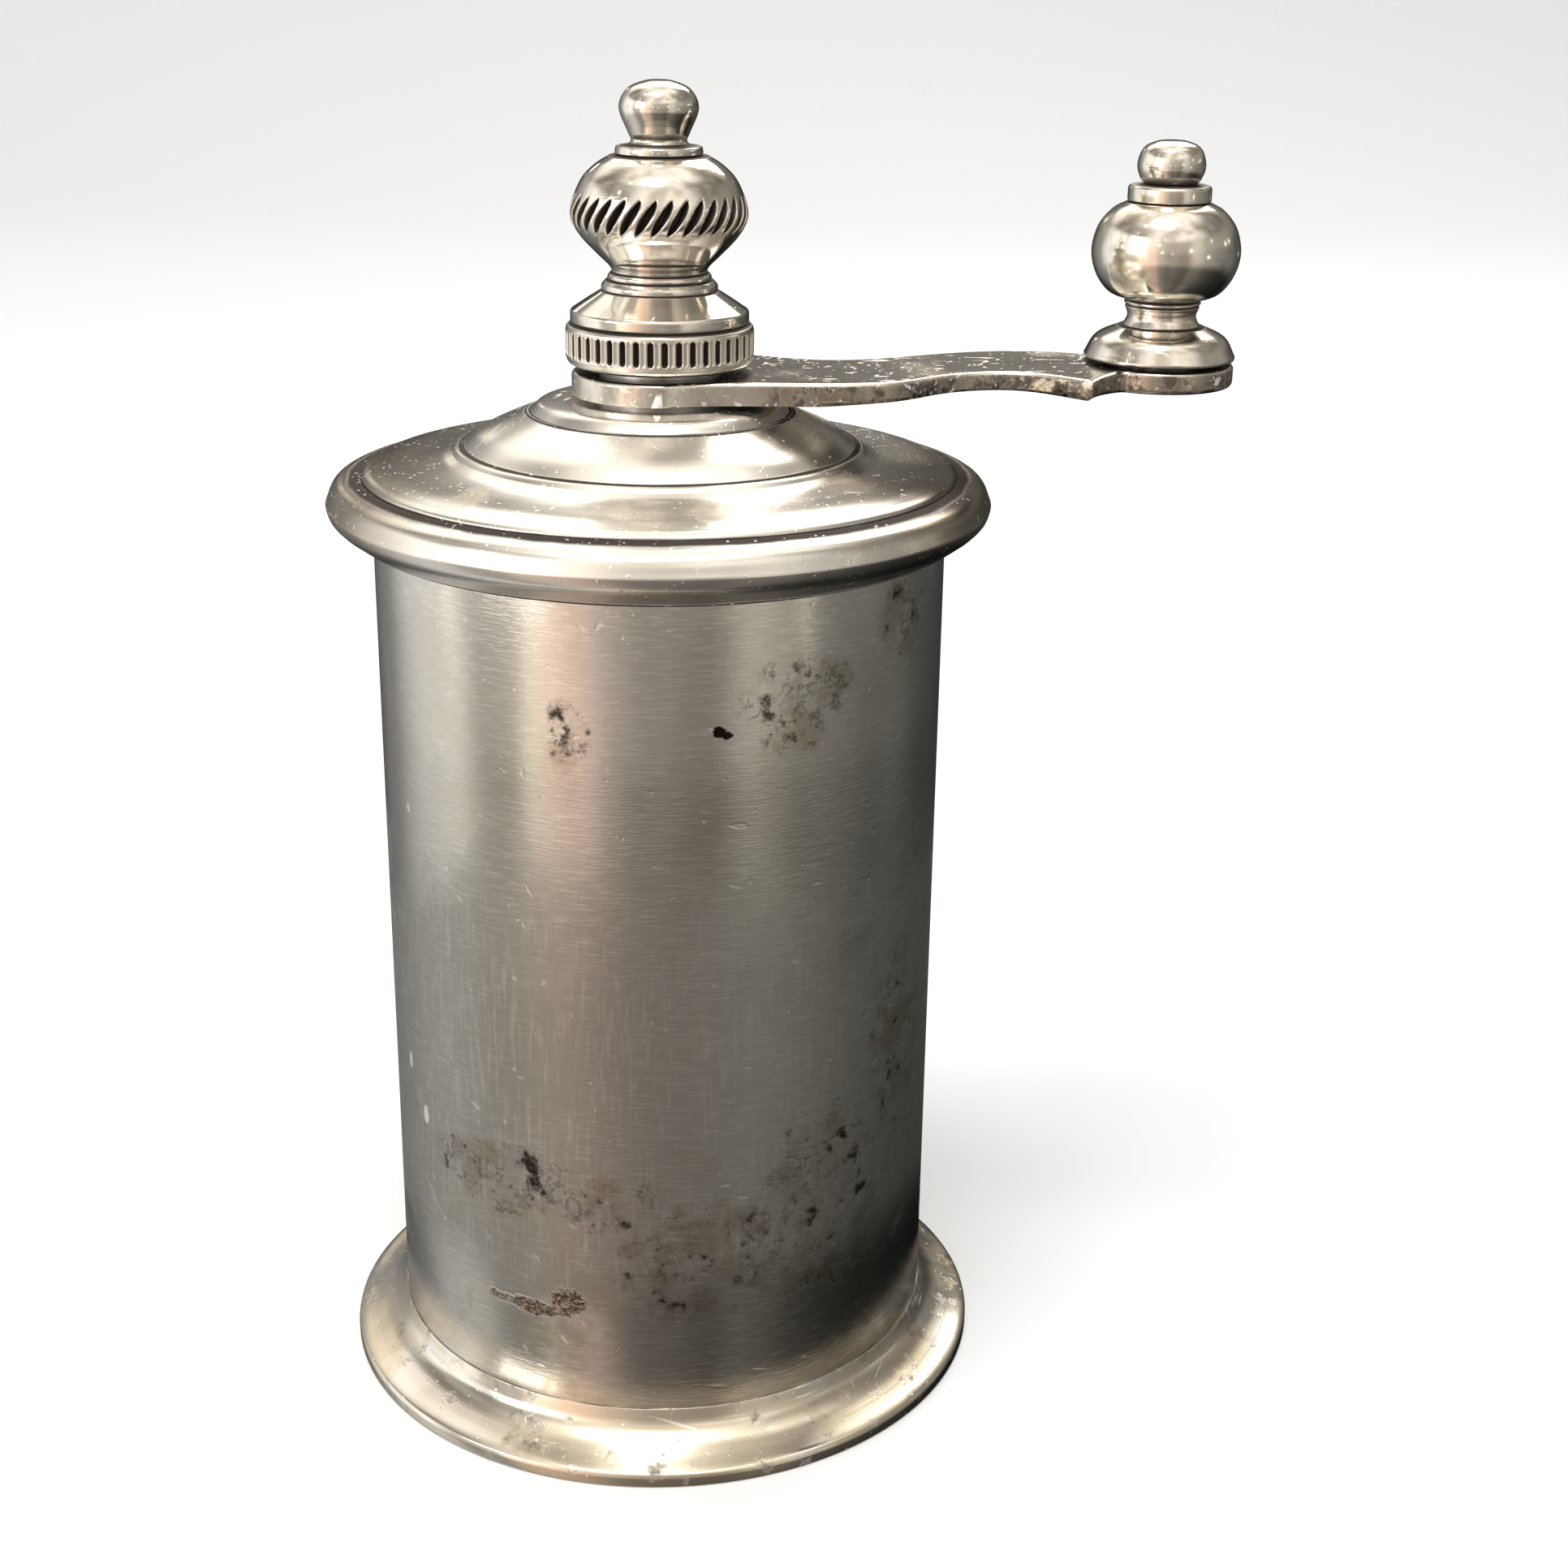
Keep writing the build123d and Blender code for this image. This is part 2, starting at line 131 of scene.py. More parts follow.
def one_less(tree, value):
    """A mask turned round: 1 less the value."""
    return calc(tree, "SUBTRACT", 1.0, value)


def times(tree, first, second):
    """The product of two values."""
    return calc(tree, "MULTIPLY", first, second)


def over(tree, first, second):
    """The first value divided by the second."""
    return calc(tree, "DIVIDE", first, second)


def larger(tree, first, second):
    """The larger of two values, which joins two masks."""
    return calc(tree, "MAXIMUM", first, second)


def noise(tree, vector, scale, detail=2.0, roughness=0.5, seed=None):
    """Cloudy noise from 0 to 1. With a seed it has a fourth axis, so that each seed gives another pattern."""
    inputs = {"Vector": vector, "Scale": scale, "Detail": detail, "Roughness": roughness}
    if seed is None:
        return node(tree, "ShaderNodeTexNoise", inputs).outputs["Fac"]
    return node(tree, "ShaderNodeTexNoise", {**inputs, "W": seed}, noise_dimensions="4D").outputs["Fac"]


def blend(tree, factor, first, second, mode="MIX"):
    """A colour mix. A is the first colour, B the second."""
    made = tree.nodes.new("ShaderNodeMix")
    made.data_type = "RGBA"
    made.blend_type = mode
    for key, value in ((0, factor), (6, first), (7, second)):
        if isinstance(value, bpy.types.NodeSocket):
            tree.links.new(value, made.inputs[key])
        elif key == 0:
            made.inputs[key].default_value = value
        else:
            made.inputs[key].default_value = (*value, 1.0)
    return made.outputs[2]


def soft_step(tree, value, low, high):
    """0 below low, 1 above high, and a smooth change between."""
    made = node(
        tree, "ShaderNodeMapRange", {
            0: value, 1: low, 2: high, 3: 0.0, 4: 1.0
        }, interpolation_type="SMOOTHSTEP"
    )
    return made.outputs[0]


def ramp(tree, value, stops, mode="EASE"):
    """A colour ramp; stops are (place, grey or colour)."""
    made = node(tree, "ShaderNodeValToRGB", {0: value})
    made.color_ramp.interpolation = mode
    points = made.color_ramp.elements
    while len(points) < len(stops):
        points.new(0.5)
    for point, (place, shade) in zip(points, stops):
        point.position = place
        point.color = (*shade, 1.0) if isinstance(shade, tuple) else (shade, shade, shade, 1.0)
    return made.outputs[0]


# %% World
world = bpy.data.worlds.new("room")
bpy.context.scene.world = world
world.use_nodes = True
room = world.node_tree
room.nodes.clear()
direction = node(room, "ShaderNodeTexCoord").outputs["Generated"]
axes = node(room, "ShaderNodeSeparateXYZ", {0: direction}).outputs
round_angle = calc(room, "ARCTAN2", axes[0], times(room, axes[1], -1.0))
around = plus(room, over(room, round_angle, 2 * math.pi), 0.5)
walls = ramp(
    room,
    around,
    [
        (0.0, 0.035),
        (0.09, 0.30),
        (0.17, (1.05, 1.03, 0.98)),
        (0.235, (1.25, 1.20, 1.10)),
        (0.275, (0.66, 0.62, 0.55)),
        (0.315, (0.70, 0.65, 0.56)),
        (0.335, (1.55, 1.38, 1.12)),
        (0.36, (1.45, 1.10, 0.90)),
        (0.395, (1.30, 0.98, 0.82)),
        (0.425, (0.62, 0.55, 0.48)),
        (0.46, (0.46, 0.41, 0.36)),
        (0.54, (0.36, 0.32, 0.28)),
        (0.575, (0.70, 0.66, 0.57)),
        (0.605, (0.60, 0.56, 0.48)),
        (0.635, (0.36, 0.34, 0.30)),
        (0.70, (0.26, 0.25, 0.225)),
        (0.76, (0.20, 0.195, 0.175)),
        (0.84, (0.10, 0.10, 0.095)),
        (0.92, (0.045, 0.045, 0.045)),
        (1.0, 0.035),
    ],
)
unevenness = noise(room, direction, 3.0, detail=3.0)
walls = blend(room, 0.35, walls, ramp(room, unevenness, [(0.35, 0.45), (0.6, 1.0)]), "MULTIPLY")
walls = blend(room, soft_step(room, axes[2], 0.05, 0.30), walls, (0.14, 0.13, 0.11), "ADD")
ceiling = blend(room, soft_step(room, unevenness, 0.35, 0.62), (0.74, 0.66, 0.54), (1.20, 1.13, 1.02))
sides = ramp(
    room,
    around,
    [
        (0.05, 1.6),
        (0.14, 0.35),
        (0.30, 0.42),
        (0.41, 1.0),
        (0.57, 1.0),
        (0.70, 0.30),
        (0.83, 0.25),
        (0.92, 1.6),
    ],
)
overhead = soft_step(room, axes[2], 0.75, 0.95)
ceiling = blend(room, 1.0, ceiling, blend(room, overhead, sides, (1.15, 1.15, 1.15)), "MULTIPLY")
shading = ramp(room, around, [(0.08, 0.62), (0.30, 0.50), (0.45, 0.40), (0.60, 0.26), (0.75, 0.12)])
table = blend(room, 1.0, walls, shading, "MULTIPLY")
lit = blend(room, soft_step(room, axes[2], -0.50, -0.25), table, walls)
lit = blend(room, soft_step(room, axes[2], 0.40, 0.56), lit, ceiling)
lamps = node(room, "ShaderNodeTexVoronoi", {"Vector": direction, "Scale": 4.0})
LAMP_SHARE, LAMP_LIGHT = 0.38, (2.8, 2.55, 2.1)
drawn_lot = node(room, "ShaderNodeSeparateColor", {0: lamps.outputs["Color"]}).outputs[0]
hung = calc(room, "LESS_THAN", drawn_lot, LAMP_SHARE)
glow = one_less(room, soft_step(room, lamps.outputs["Distance"], 0.10, 0.22))
glow = times(room, times(room, hung, glow), soft_step(room, axes[2], -0.2, 0.0))
lit = blend(room, glow, lit, LAMP_LIGHT)
mirrored = node(room, "ShaderNodeLightPath").outputs["Is Glossy Ray"]
seen = blend(room, mirrored, (0.8, 0.8, 0.8), lit)
shade = node(room, "ShaderNodeBackground", {"Color": seen, "Strength": 1.0})
node(room, "ShaderNodeOutputWorld", {0: shade.outputs[0]})
print("world nodes:", len(room.nodes))

# %% Floor and lights
SWEEP = 3.0
bend_steps = 12
rows = [(-1.2, 0.0), (0.9, 0.0)]
rows += [
    (0.9 + 0.6 * math.sin(a), 0.6 - 0.6 * math.cos(a))
    for a in (math.pi / 2 * k / bend_steps for k in range(1, bend_steps + 1))
]
rows.append((1.5, 2.2))
turn = Matrix.Rotation(-HEADING, 4, "Z")
paper = bpy.data.meshes.new("paper_sweep")
paper.from_pydata(
    [turn @ Vector((x, y, z)) for y, z in rows for x in (-SWEEP, SWEEP)],
    [],
    [(2 * k, 2 * k + 1, 2 * k + 3, 2 * k + 2) for k in range(len(rows) - 1)],
)
for face in paper.polygons:
    face.use_smooth = True
sweep = bpy.data.objects.new("paper_sweep", paper)
bpy.context.scene.collection.objects.link(sweep)
sweep.visible_glossy = False
white = bpy.data.materials.new("white_paper")
white.use_nodes = True
paper_tree = white.node_tree
paper_tree.nodes["Principled BSDF"].inputs["Base Color"].default_value = (0.86, 0.86, 0.86, 1)
paper_tree.nodes["Principled BSDF"].inputs["Roughness"].default_value = 0.9
paper.materials.append(white)


def softbox(name, place, target, size, watts, colour=(1, 1, 1)):
    """A square area light aimed at a point."""
    lamp = bpy.data.lights.new(name, "AREA")
    lamp.size = size
    lamp.energy = watts
    lamp.color = colour
    made = bpy.data.objects.new(name, lamp)
    made.location = place
    made.rotation_euler = (Vector(target) - Vector(place)).to_track_quat("-Z", "Y").to_euler()
    bpy.context.scene.collection.objects.link(made)
    return made


MILL = (0, 0, 0.06)
softbox("top_light", (-0.10, -0.25, 0.95), MILL, 0.3, 4.0)
softbox("left_window", (-0.75, -0.35, 0.35), MILL, 0.45, 1.8, (1.0, 0.98, 0.94))
softbox("back_light", (0.35, 0.7, 0.75), MILL, 0.5, 2.4, (1.0, 0.96, 0.90))
bpy.context.scene.view_settings.view_transform = "Standard"

# %% [markdown]
# ## Effects that several finishes share
# Old silver shows the same few things everywhere: fine lines from the lathe, hair scratches, bright specks
# and dark pits, dirt in the grooves, and stains in cloudy patches. Each is one shader group with its own
# inputs.

# %% Shader groups: start and finish
def effect(name, inputs, outputs):
    """An empty shader group. Each input is (name, kind, value), and each output (name, kind)."""
    group = bpy.data.node_groups.new(name, "ShaderNodeTree")
    kinds = {"value": "NodeSocketFloat", "vector": "NodeSocketVector", "colour": "NodeSocketColor"}
    for title, kind, value in inputs:
        socket = group.interface.new_socket(title, in_out="INPUT", socket_type=kinds[kind])
        socket.default_value = value
    for title, kind in outputs:
        group.interface.new_socket(title, in_out="OUTPUT", socket_type=kinds[kind])
    return group, group.nodes.new("NodeGroupInput").outputs, group.nodes.new("NodeGroupOutput").inputs


def use(tree, group, **inputs):
    """Places a group in a material; underscores in an input's name stand for spaces."""
    made = node(tree, "ShaderNodeGroup", node_tree=group)
    for key, value in inputs.items():
        socket = made.inputs[key.replace("_", " ")]
        if isinstance(value, bpy.types.NodeSocket):
            tree.links.new(value, socket)
        else:
            socket.default_value = value
    return made.outputs


# %% Shader group: lathe lines
lathe_lines, given, out = effect(
    "lathe_lines",
    [("Vector", "vector", (0, 0, 0)), ("Lines per mm", "value", 8.0)],
    [("Height", "value")],
)
x, y, z = node(lathe_lines, "ShaderNodeSeparateXYZ", {0: given["Vector"]}).outputs
radius = calc(
    lathe_lines, "POWER", plus(lathe_lines, times(lathe_lines, x, x), times(lathe_lines, y, y)), 0.5
)
fine = times(lathe_lines, given["Lines per mm"], 1000.0)
slow = node(lathe_lines, "ShaderNodeCombineXYZ", {
    0: times(lathe_lines, plus(lathe_lines, radius, times(lathe_lines, x, 0.004)), fine),
    1: times(lathe_lines, plus(lathe_lines, z, times(lathe_lines, y, 0.004)), fine),
    2: 0.0,
}).outputs[0]
lines = node(
    lathe_lines, "ShaderNodeTexNoise", {"Vector": slow, "Scale": 1.0, "Detail": 2.0}, noise_dimensions="2D"
)
lathe_lines.links.new(lines.outputs["Fac"], out["Height"])

# %% Shader group: scratches
scratches, given, out = effect(
    "scratches",
    [
        ("Vector", "vector", (0, 0, 0)),
        ("Size", "value", 1.0),
        ("Amount", "value", 0.5),
        ("Seed", "value", 0.0),
    ],
    [("Mask", "value")],
)
found = None
for angle, stretch in ((0.35, 26.0), (1.3, 34.0), (2.4, 30.0)):
    turned_vector = node(
        scratches,
        "ShaderNodeVectorRotate",
        {"Vector": given["Vector"], "Angle": angle, "Axis": (0.35, -0.85, 0.4)},
        rotation_type="AXIS_ANGLE",
    ).outputs[0]
    pulled = node(
        scratches,
        "ShaderNodeVectorMath",
        {0: turned_vector, 1: (60.0, 60.0 * stretch, 60.0 * stretch)},
        operation="MULTIPLY",
    ).outputs[0]
    pulled = node(
        scratches,
        "ShaderNodeVectorMath",
        {0: pulled, "Scale": over(scratches, 1.0, given["Size"])},
        operation="SCALE",
    ).outputs[0]
    grain = noise(scratches, pulled, 1.0, detail=1.0, seed=plus(scratches, given["Seed"], angle))
    limit = minus(scratches, 0.84, times(scratches, given["Amount"], 0.2))
    mark = soft_step(scratches, grain, limit, plus(scratches, limit, 0.05))
    found = mark if found is None else larger(scratches, found, mark)
scratches.links.new(found, out["Mask"])

# %% Shader group: specks
specks, given, out = effect(
    "specks",
    [
        ("Vector", "vector", (0, 0, 0)),
        ("Spacing mm", "value", 1.0),
        ("Size", "value", 0.12),
        ("Share", "value", 0.3),
        ("Seed", "value", 0.0),
    ],
    [("Mask", "value")],
)
cells = node(specks, "ShaderNodeTexVoronoi", {
    "Vector": given["Vector"],
    "W": given["Seed"],
    "Scale": over(specks, 1000.0, given["Spacing mm"]),
}, voronoi_dimensions="4D")
chosen = calc(
    specks,
    "LESS_THAN",
    node(specks, "ShaderNodeSeparateColor", {0: cells.outputs["Color"]}).outputs[0],
    given["Share"],
)
spot = one_less(
    specks, soft_step(specks, cells.outputs["Distance"], times(specks, given["Size"], 0.5), given["Size"])
)
specks.links.new(times(specks, chosen, spot), out["Mask"])

# %% Shader group: cloudy stain
stain, given, out = effect(
    "stain",
    [
        ("Vector", "vector", (0, 0, 0)),
        ("Size mm", "value", 8.0),
        ("Amount", "value", 0.4),
        ("Seed", "value", 0.0),
    ],
    [("Mask", "value")],
)
scale = over(stain, 1000.0, given["Size mm"])
cloud = noise(stain, given["Vector"], scale, detail=6.0, roughness=0.62, seed=given["Seed"])
start = minus(stain, 0.72, times(stain, given["Amount"], 0.4))
stain.links.new(soft_step(stain, cloud, start, plus(stain, start, 0.13)), out["Mask"])

# %% Shader group: groove dirt
groove_dirt, given, out = effect(
    "groove_dirt",
    [("Vector", "vector", (0, 0, 0)), ("Height mm", "value", 80.0), ("Width mm", "value", 0.2)],
    [("Mask", "value")],
)
level = node(groove_dirt, "ShaderNodeSeparateXYZ", {0: given["Vector"]}).outputs[2]
patchy = noise(groove_dirt, given["Vector"], 260.0, detail=3.0)
away = calc(
    groove_dirt, "ABSOLUTE", minus(groove_dirt, times(groove_dirt, level, 1000.0), given["Height mm"])
)
reach = times(groove_dirt, given["Width mm"], plus(groove_dirt, 0.35, times(groove_dirt, patchy, 1.3)))
groove_dirt.links.new(
    one_less(groove_dirt, soft_step(groove_dirt, away, times(groove_dirt, reach, 0.35), reach)), out["Mask"]
)

# %% Shader group: ragged patch
patch, given, out = effect(
    "patch",
    [
        ("Vector", "vector", (0, 0, 0)),
        ("Centre", "vector", (0, 0, 0)),
        ("Reach", "vector", (0.01, 0.01, 0.01)),
        ("Ragged", "value", 0.5),
    ],
    [("Mask", "value")],
)
off = node(
    patch, "ShaderNodeVectorMath", {0: given["Vector"], 1: given["Centre"]}, operation="SUBTRACT"
).outputs[0]
off = node(patch, "ShaderNodeVectorMath", {0: off, 1: given["Reach"]}, operation="DIVIDE").outputs[0]
far = node(patch, "ShaderNodeVectorMath", {0: off}, operation="LENGTH").outputs[1]
torn = noise(patch, given["Vector"], 420.0, detail=6.0, roughness=0.7)
far = plus(patch, far, times(patch, minus(patch, torn, 0.5), times(patch, given["Ragged"], 4.0)))
patch.links.new(one_less(patch, soft_step(patch, far, 0.75, 1.05)), out["Mask"])

# %% Shader group: crawling marks
crawl, given, out = effect(
    "crawl",
    [
        ("Vector", "vector", (0, 0, 0)),
        ("Size mm", "value", 2.0),
        ("Line", "value", 0.02),
        ("Share", "value", 0.4),
        ("Seed", "value", 0.0),
    ],
    [("Mask", "value")],
)
scale = over(crawl, 1000.0, given["Size mm"])
wander = noise(crawl, given["Vector"], scale, detail=4.0, roughness=0.6, seed=given["Seed"])
line = one_less(
    crawl,
    soft_step(
        crawl,
        calc(crawl, "ABSOLUTE", minus(crawl, wander, 0.5)),
        times(crawl, given["Line"], 0.3),
        given["Line"],
    ),
)
region = noise(
    crawl, given["Vector"], times(crawl, scale, 0.5), detail=3.0, seed=plus(crawl, given["Seed"], 5.0)
)
edge = minus(crawl, 0.75, times(crawl, given["Share"], 0.4))
crawl.links.new(times(crawl, line, soft_step(crawl, region, edge, plus(crawl, edge, 0.06))), out["Mask"])
print("shader groups:", ", ".join(g.name for g in bpy.data.node_groups))

# %% [markdown]
# ## Bright turned silver
# The lid, foot, finial, knob, ring and crank were all polished once. One recipe serves them, and each piece
# gets its own lathe centre, grooves and amount of dirt.

# %% Silver recipe
# The dark of dirt, and of painted shade in the wheel's cuts.
DIRT_AND_SHADE = (0.035, 0.026, 0.018)
BRIGHT = (0.97, 0.96, 0.93)
SILVER_DENT, SILVER_LINE, SCRATCH, DUST_GRAIN, DIRT_PIT = (
    0.16 * MM, 0.0035 * MM, 0.006 * MM, 0.02 * MM, 0.03 * MM
)


def new_material(name):
    made = bpy.data.materials.new(name)
    made.use_nodes = True
    tree = made.node_tree
    return made, tree, tree.nodes["Principled BSDF"], node(tree, "ShaderNodeTexCoord").outputs["Object"]


def any_of(tree, masks):
    total = masks[0]
    for mask in masks[1:]:
        total = larger(tree, total, mask)
    return total


def silver(
    name, colour, roughness, grooves=(), centre=0.0, dirt=0.25, wear=0.5, sparkle=0.3, dust=0.0, seed=0.0,
    sides=False, cut=False, painted_dark_flanks=None, blooms=False,
):
    """Polished silver plate. Grooves are (height, width) in mm, and centre is the lathe's X in mm.

    The flank darkening is (start, end): how many mm to the left or right of the front the painted dark
    reflection starts and is full. Sides is for grime on upright sawn faces, cut for dirt and painted shade in
    the wheel's cuts, and blooms for brown patches.
    """
    made, tree, surface, place = new_material(name)
    own = node(tree, "ShaderNodeMapping", {"Vector": place, "Location": (-centre * MM, 0, 0)}).outputs[0]
    lines = use(tree, lathe_lines, Vector=own, Lines_per_mm=7.0)["Height"]
    hair = use(tree, scratches, Vector=place, Size=1.0, Amount=wear, Seed=seed)["Mask"]
    bright = use(tree, specks, Vector=place, Spacing_mm=0.9, Size=0.16, Share=sparkle, Seed=seed)["Mask"]
    if dust:
        drift = use(tree, stain, Vector=place, Size_mm=11.0, Amount=0.75, Seed=seed + 9.0)["Mask"]
        grains = use(
            tree, specks, Vector=place, Spacing_mm=0.5, Size=0.3, Share=dust, Seed=seed + 1.0
        )["Mask"]
        bright = larger(tree, bright, times(tree, grains, drift))
    film = use(tree, stain, Vector=place, Size_mm=9.0, Amount=dirt + 0.35, Seed=seed)["Mask"]
    spots = use(tree, stain, Vector=place, Size_mm=2.2, Amount=dirt, Seed=seed + 3.0)["Mask"]
    dark = [times(tree, spots, 0.7)]
    for height, width in grooves:
        dark.append(use(tree, groove_dirt, Vector=place, Height_mm=height, Width_mm=width)["Mask"])
    if sides:
        normal = node(tree, "ShaderNodeNewGeometry").outputs["True Normal"]
        facing = calc(tree, "ABSOLUTE", node(tree, "ShaderNodeSeparateXYZ", {0: normal}).outputs[2])
        sawn = one_less(tree, soft_step(tree, facing, 0.25, 0.6))
        along = node(tree, "ShaderNodeSeparateXYZ", {0: place}).outputs[0]
        past_hub = soft_step(tree, along, 0.006, 0.009)
        sawn = times(tree, sawn, blend(tree, past_hub, (0.25, 0.25, 0.25), (1.0, 1.0, 1.0)))
        grime = use(tree, stain, Vector=place, Size_mm=1.3, Amount=0.66, Seed=seed + 7.0)["Mask"]
        dark.append(times(tree, sawn, times(tree, grime, 0.85)))
    if cut:
        # Dirt and painted shade: the wheel's cuts are darkened by their depth.
        cut_dirt_and_shade = node(tree, "ShaderNodeAttribute", attribute_name="cut").outputs["Fac"]
        dark.append(soft_step(tree, cut_dirt_and_shade, 0.01, 0.14))
    dark = any_of(tree, dark)
    body = blend(
        tree, times(tree, film, 0.5), colour, tuple(c * s for c, s in zip(colour, (0.86, 0.75, 0.55)))
    )
    body = blend(tree, times(tree, lines, 0.12), body, tuple(c * 0.72 for c in colour))
    # Painted dark reflection: the flanks left and right of the camera's front are darkened in the colour,
    # from start mm and fully past end mm.
    if painted_dark_flanks:
        aside = (math.cos(HEADING), -math.sin(HEADING), 0.0)
        off = node(
            tree, "ShaderNodeVectorMath", {0: place, 1: aside}, operation="DOT_PRODUCT"
        ).outputs["Value"]
        off = calc(tree, "ABSOLUTE", off)
        off = plus(tree, off, times(tree, minus(tree, film, 0.5), 0.004))
        painted_flank_reflection = soft_step(tree, off, painted_dark_flanks[0] * MM, painted_dark_flanks[1] * MM)
        body = blend(
            tree, times(tree, painted_flank_reflection, 0.9), body, tuple(c * s for c, s in zip(colour, (0.46, 0.41, 0.35)))
        )
    if blooms:
        wide = use(tree, stain, Vector=place, Size_mm=5.0, Amount=0.42, Seed=seed + 12.0)["Mask"]
        fine = use(tree, stain, Vector=place, Size_mm=1.6, Amount=0.6, Seed=seed + 13.0)["Mask"]
        body = blend(tree, times(tree, wide, 0.45), body, (0.52, 0.42, 0.29))
        body = blend(tree, times(tree, wide, times(tree, fine, 0.75)), body, (0.20, 0.15, 0.10))
    if sides:
        body = blend(tree, times(tree, sawn, 0.75), body, (0.36, 0.29, 0.21))
    body = blend(tree, dark, body, DIRT_AND_SHADE)
    body = blend(tree, larger(tree, times(tree, hair, 0.5), bright), body, BRIGHT)
    tree.links.new(body, surface.inputs["Base Color"])
    rough = plus(tree, roughness, times(tree, film, 0.12))
    rough = plus(tree, rough, times(tree, dark, 0.45))
    rough = plus(tree, rough, times(tree, larger(tree, hair, bright), 0.25))
    tree.links.new(rough, surface.inputs["Roughness"])
    tree.links.new(one_less(tree, times(tree, dark, 0.65)), surface.inputs["Metallic"])
    wobble = noise(tree, place, 90.0)
    height = plus(tree, times(tree, wobble, SILVER_DENT), times(tree, lines, SILVER_LINE))
    height = minus(tree, height, times(tree, hair, SCRATCH))
    height = plus(tree, height, times(tree, bright, DUST_GRAIN))
    height = minus(tree, height, times(tree, dark, DIRT_PIT))
    bump = node(tree, "ShaderNodeBump", {"Strength": 1.0, "Distance": 1.0, "Height": height})
    tree.links.new(bump.outputs[0], surface.inputs["Normal"])
    return made


SILVER = (0.86, 0.82, 0.75)
# The lid's darkened flanks are painted dark reflection.
lid_silver = silver(
    "lid_silver", (0.95, 0.925, 0.875), 0.24, [(80.62, 0.2), (82.97, 0.07), (85.7, 0.08), (75.7, 0.35)],
    dirt=0.1, wear=0.6, sparkle=0.4, dust=0.7, seed=1.0, painted_dark_flanks=(13.0, 22.0),
)
foot_silver = silver(
    "foot_silver", SILVER, 0.13, [
        (4.7, 0.16)
    ], dirt=0.4, wear=0.5, sparkle=0.15, dust=0.2, seed=2.0, blooms=True,
)
finial_silver = silver(
    "finial_silver", SILVER, 0.1, [(93.05, 0.16), (95.6, 0.12), (96.42, 0.1), (97.0, 0.12), (106.2, 0.14)],
    dirt=0.14, wear=0.35, sparkle=0.06, seed=3.0, cut=True,
)
tip_silver = silver(
    "tip_silver", SILVER, 0.1, [(106.25, 0.1), (107.05, 0.18)], dirt=0.14, wear=0.3, sparkle=0.05, seed=4.0
)
knob_silver = silver(
    "knob_silver", SILVER, 0.12, [(89.4, 0.25), (92.13, 0.12), (93.85, 0.1), (94.35, 0.16)],
    centre=43.0, dirt=0.2, wear=0.5, sparkle=0.1, seed=5.0,
)
spindle_silver = silver(
    "spindle_silver",
    SILVER,
    0.12,
    [(102.42, 0.1), (103.85, 0.16)],
    centre=43.0,
    dirt=0.2,
    wear=0.4,
    sparkle=0.08,
    seed=6.0,
)
ring_silver = silver(
    "ring_silver",
    SILVER,
    0.16,
    [(89.65, 0.2), (92.95, 0.18)],
    dirt=0.2,
    wear=0.3,
    sparkle=0.06,
    seed=7.0,
    cut=True,
)
crank_silver = silver(
    "crank_silver",
    (0.82, 0.78, 0.71),
    0.2,
    dirt=0.1,
    wear=0.85,
    sparkle=0.3,
    dust=0.3,
    seed=8.0,
    sides=True,
)
print("silver finishes:", sum(m.name.endswith("_silver") for m in bpy.data.materials))

# %% [markdown]
# ## The barrel's worn satin
# The barrel has lost its shine: a grey, finely brushed skin with brown-black blooms, mostly low down and by
# the upper right edge, a brown scuff near the foot, some pits and pale nicks.

# %% Barrel: its skin and the fine grain on it
BARREL_R = 0.024


def on_barrel(angle, height):
    """A point on the barrel's skin; the angle is in degrees from the side that faces the camera."""
    a = math.radians(angle) - HEADING - math.pi / 2
    return (BARREL_R * math.cos(a), BARREL_R * math.sin(a), height * MM)


barrel_satin, tree, surface, place = new_material("barrel_satin")


def grain(scale):
    """Noise drawn out by a scale for each axis."""
    drawn = node(tree, "ShaderNodeMapping", {"Vector": place, "Scale": scale}).outputs[0]
    return noise(tree, drawn, 1.0, detail=4.0, roughness=0.6)


brushing = grain((520, 520, 6200))
rubbing = grain((2600, 2600, 240))
mottle = grain((1500, 1500, 1500))
shreds = grain((2800, 2800, 5200))
clouds = use(tree, stain, Vector=place, Size_mm=14.0, Amount=0.55, Seed=11.0)["Mask"]
coarse = use(tree, stain, Vector=place, Size_mm=2.1, Amount=0.46, Seed=12.0)["Mask"]
small = use(tree, stain, Vector=place, Size_mm=1.0, Amount=0.42, Seed=18.0)["Mask"]
halo = use(tree, stain, Vector=place, Size_mm=3.6, Amount=0.62, Seed=12.0)["Mask"]
curls = use(tree, crawl, Vector=place, Size_mm=2.0, Line=0.035, Share=0.66, Seed=13.0)["Mask"]
pits = use(tree, specks, Vector=place, Spacing_mm=3.2, Size=0.085, Share=0.5, Seed=14.0)["Mask"]
nicks = use(tree, specks, Vector=place, Spacing_mm=2.2, Size=0.05, Share=0.2, Seed=15.0)["Mask"]
hair = use(tree, scratches, Vector=place, Size=1.6, Amount=0.55, Seed=16.0)["Mask"]
print("barrel grain nodes:", len(tree.nodes))

# %% [markdown]
# The stains, the blot and the scuff each sit at known places on the skin, given by an angle from the front
# and a height. Ragged patches say where, and the finer stains above break them up.

# %% Barrel: where the marks are
def patches(spots, ragged):
    """The marks at several places: each is (angle, height, half width, half height), in degrees and mm."""
    masks = []
    for angle, height, wide, high in spots:
        reach = (wide * MM, wide * MM, high * MM)
        made = use(tree, patch, Vector=place, Centre=on_barrel(angle, height), Reach=reach, Ragged=ragged)
        masks.append(made["Mask"])
    return any_of(tree, masks)


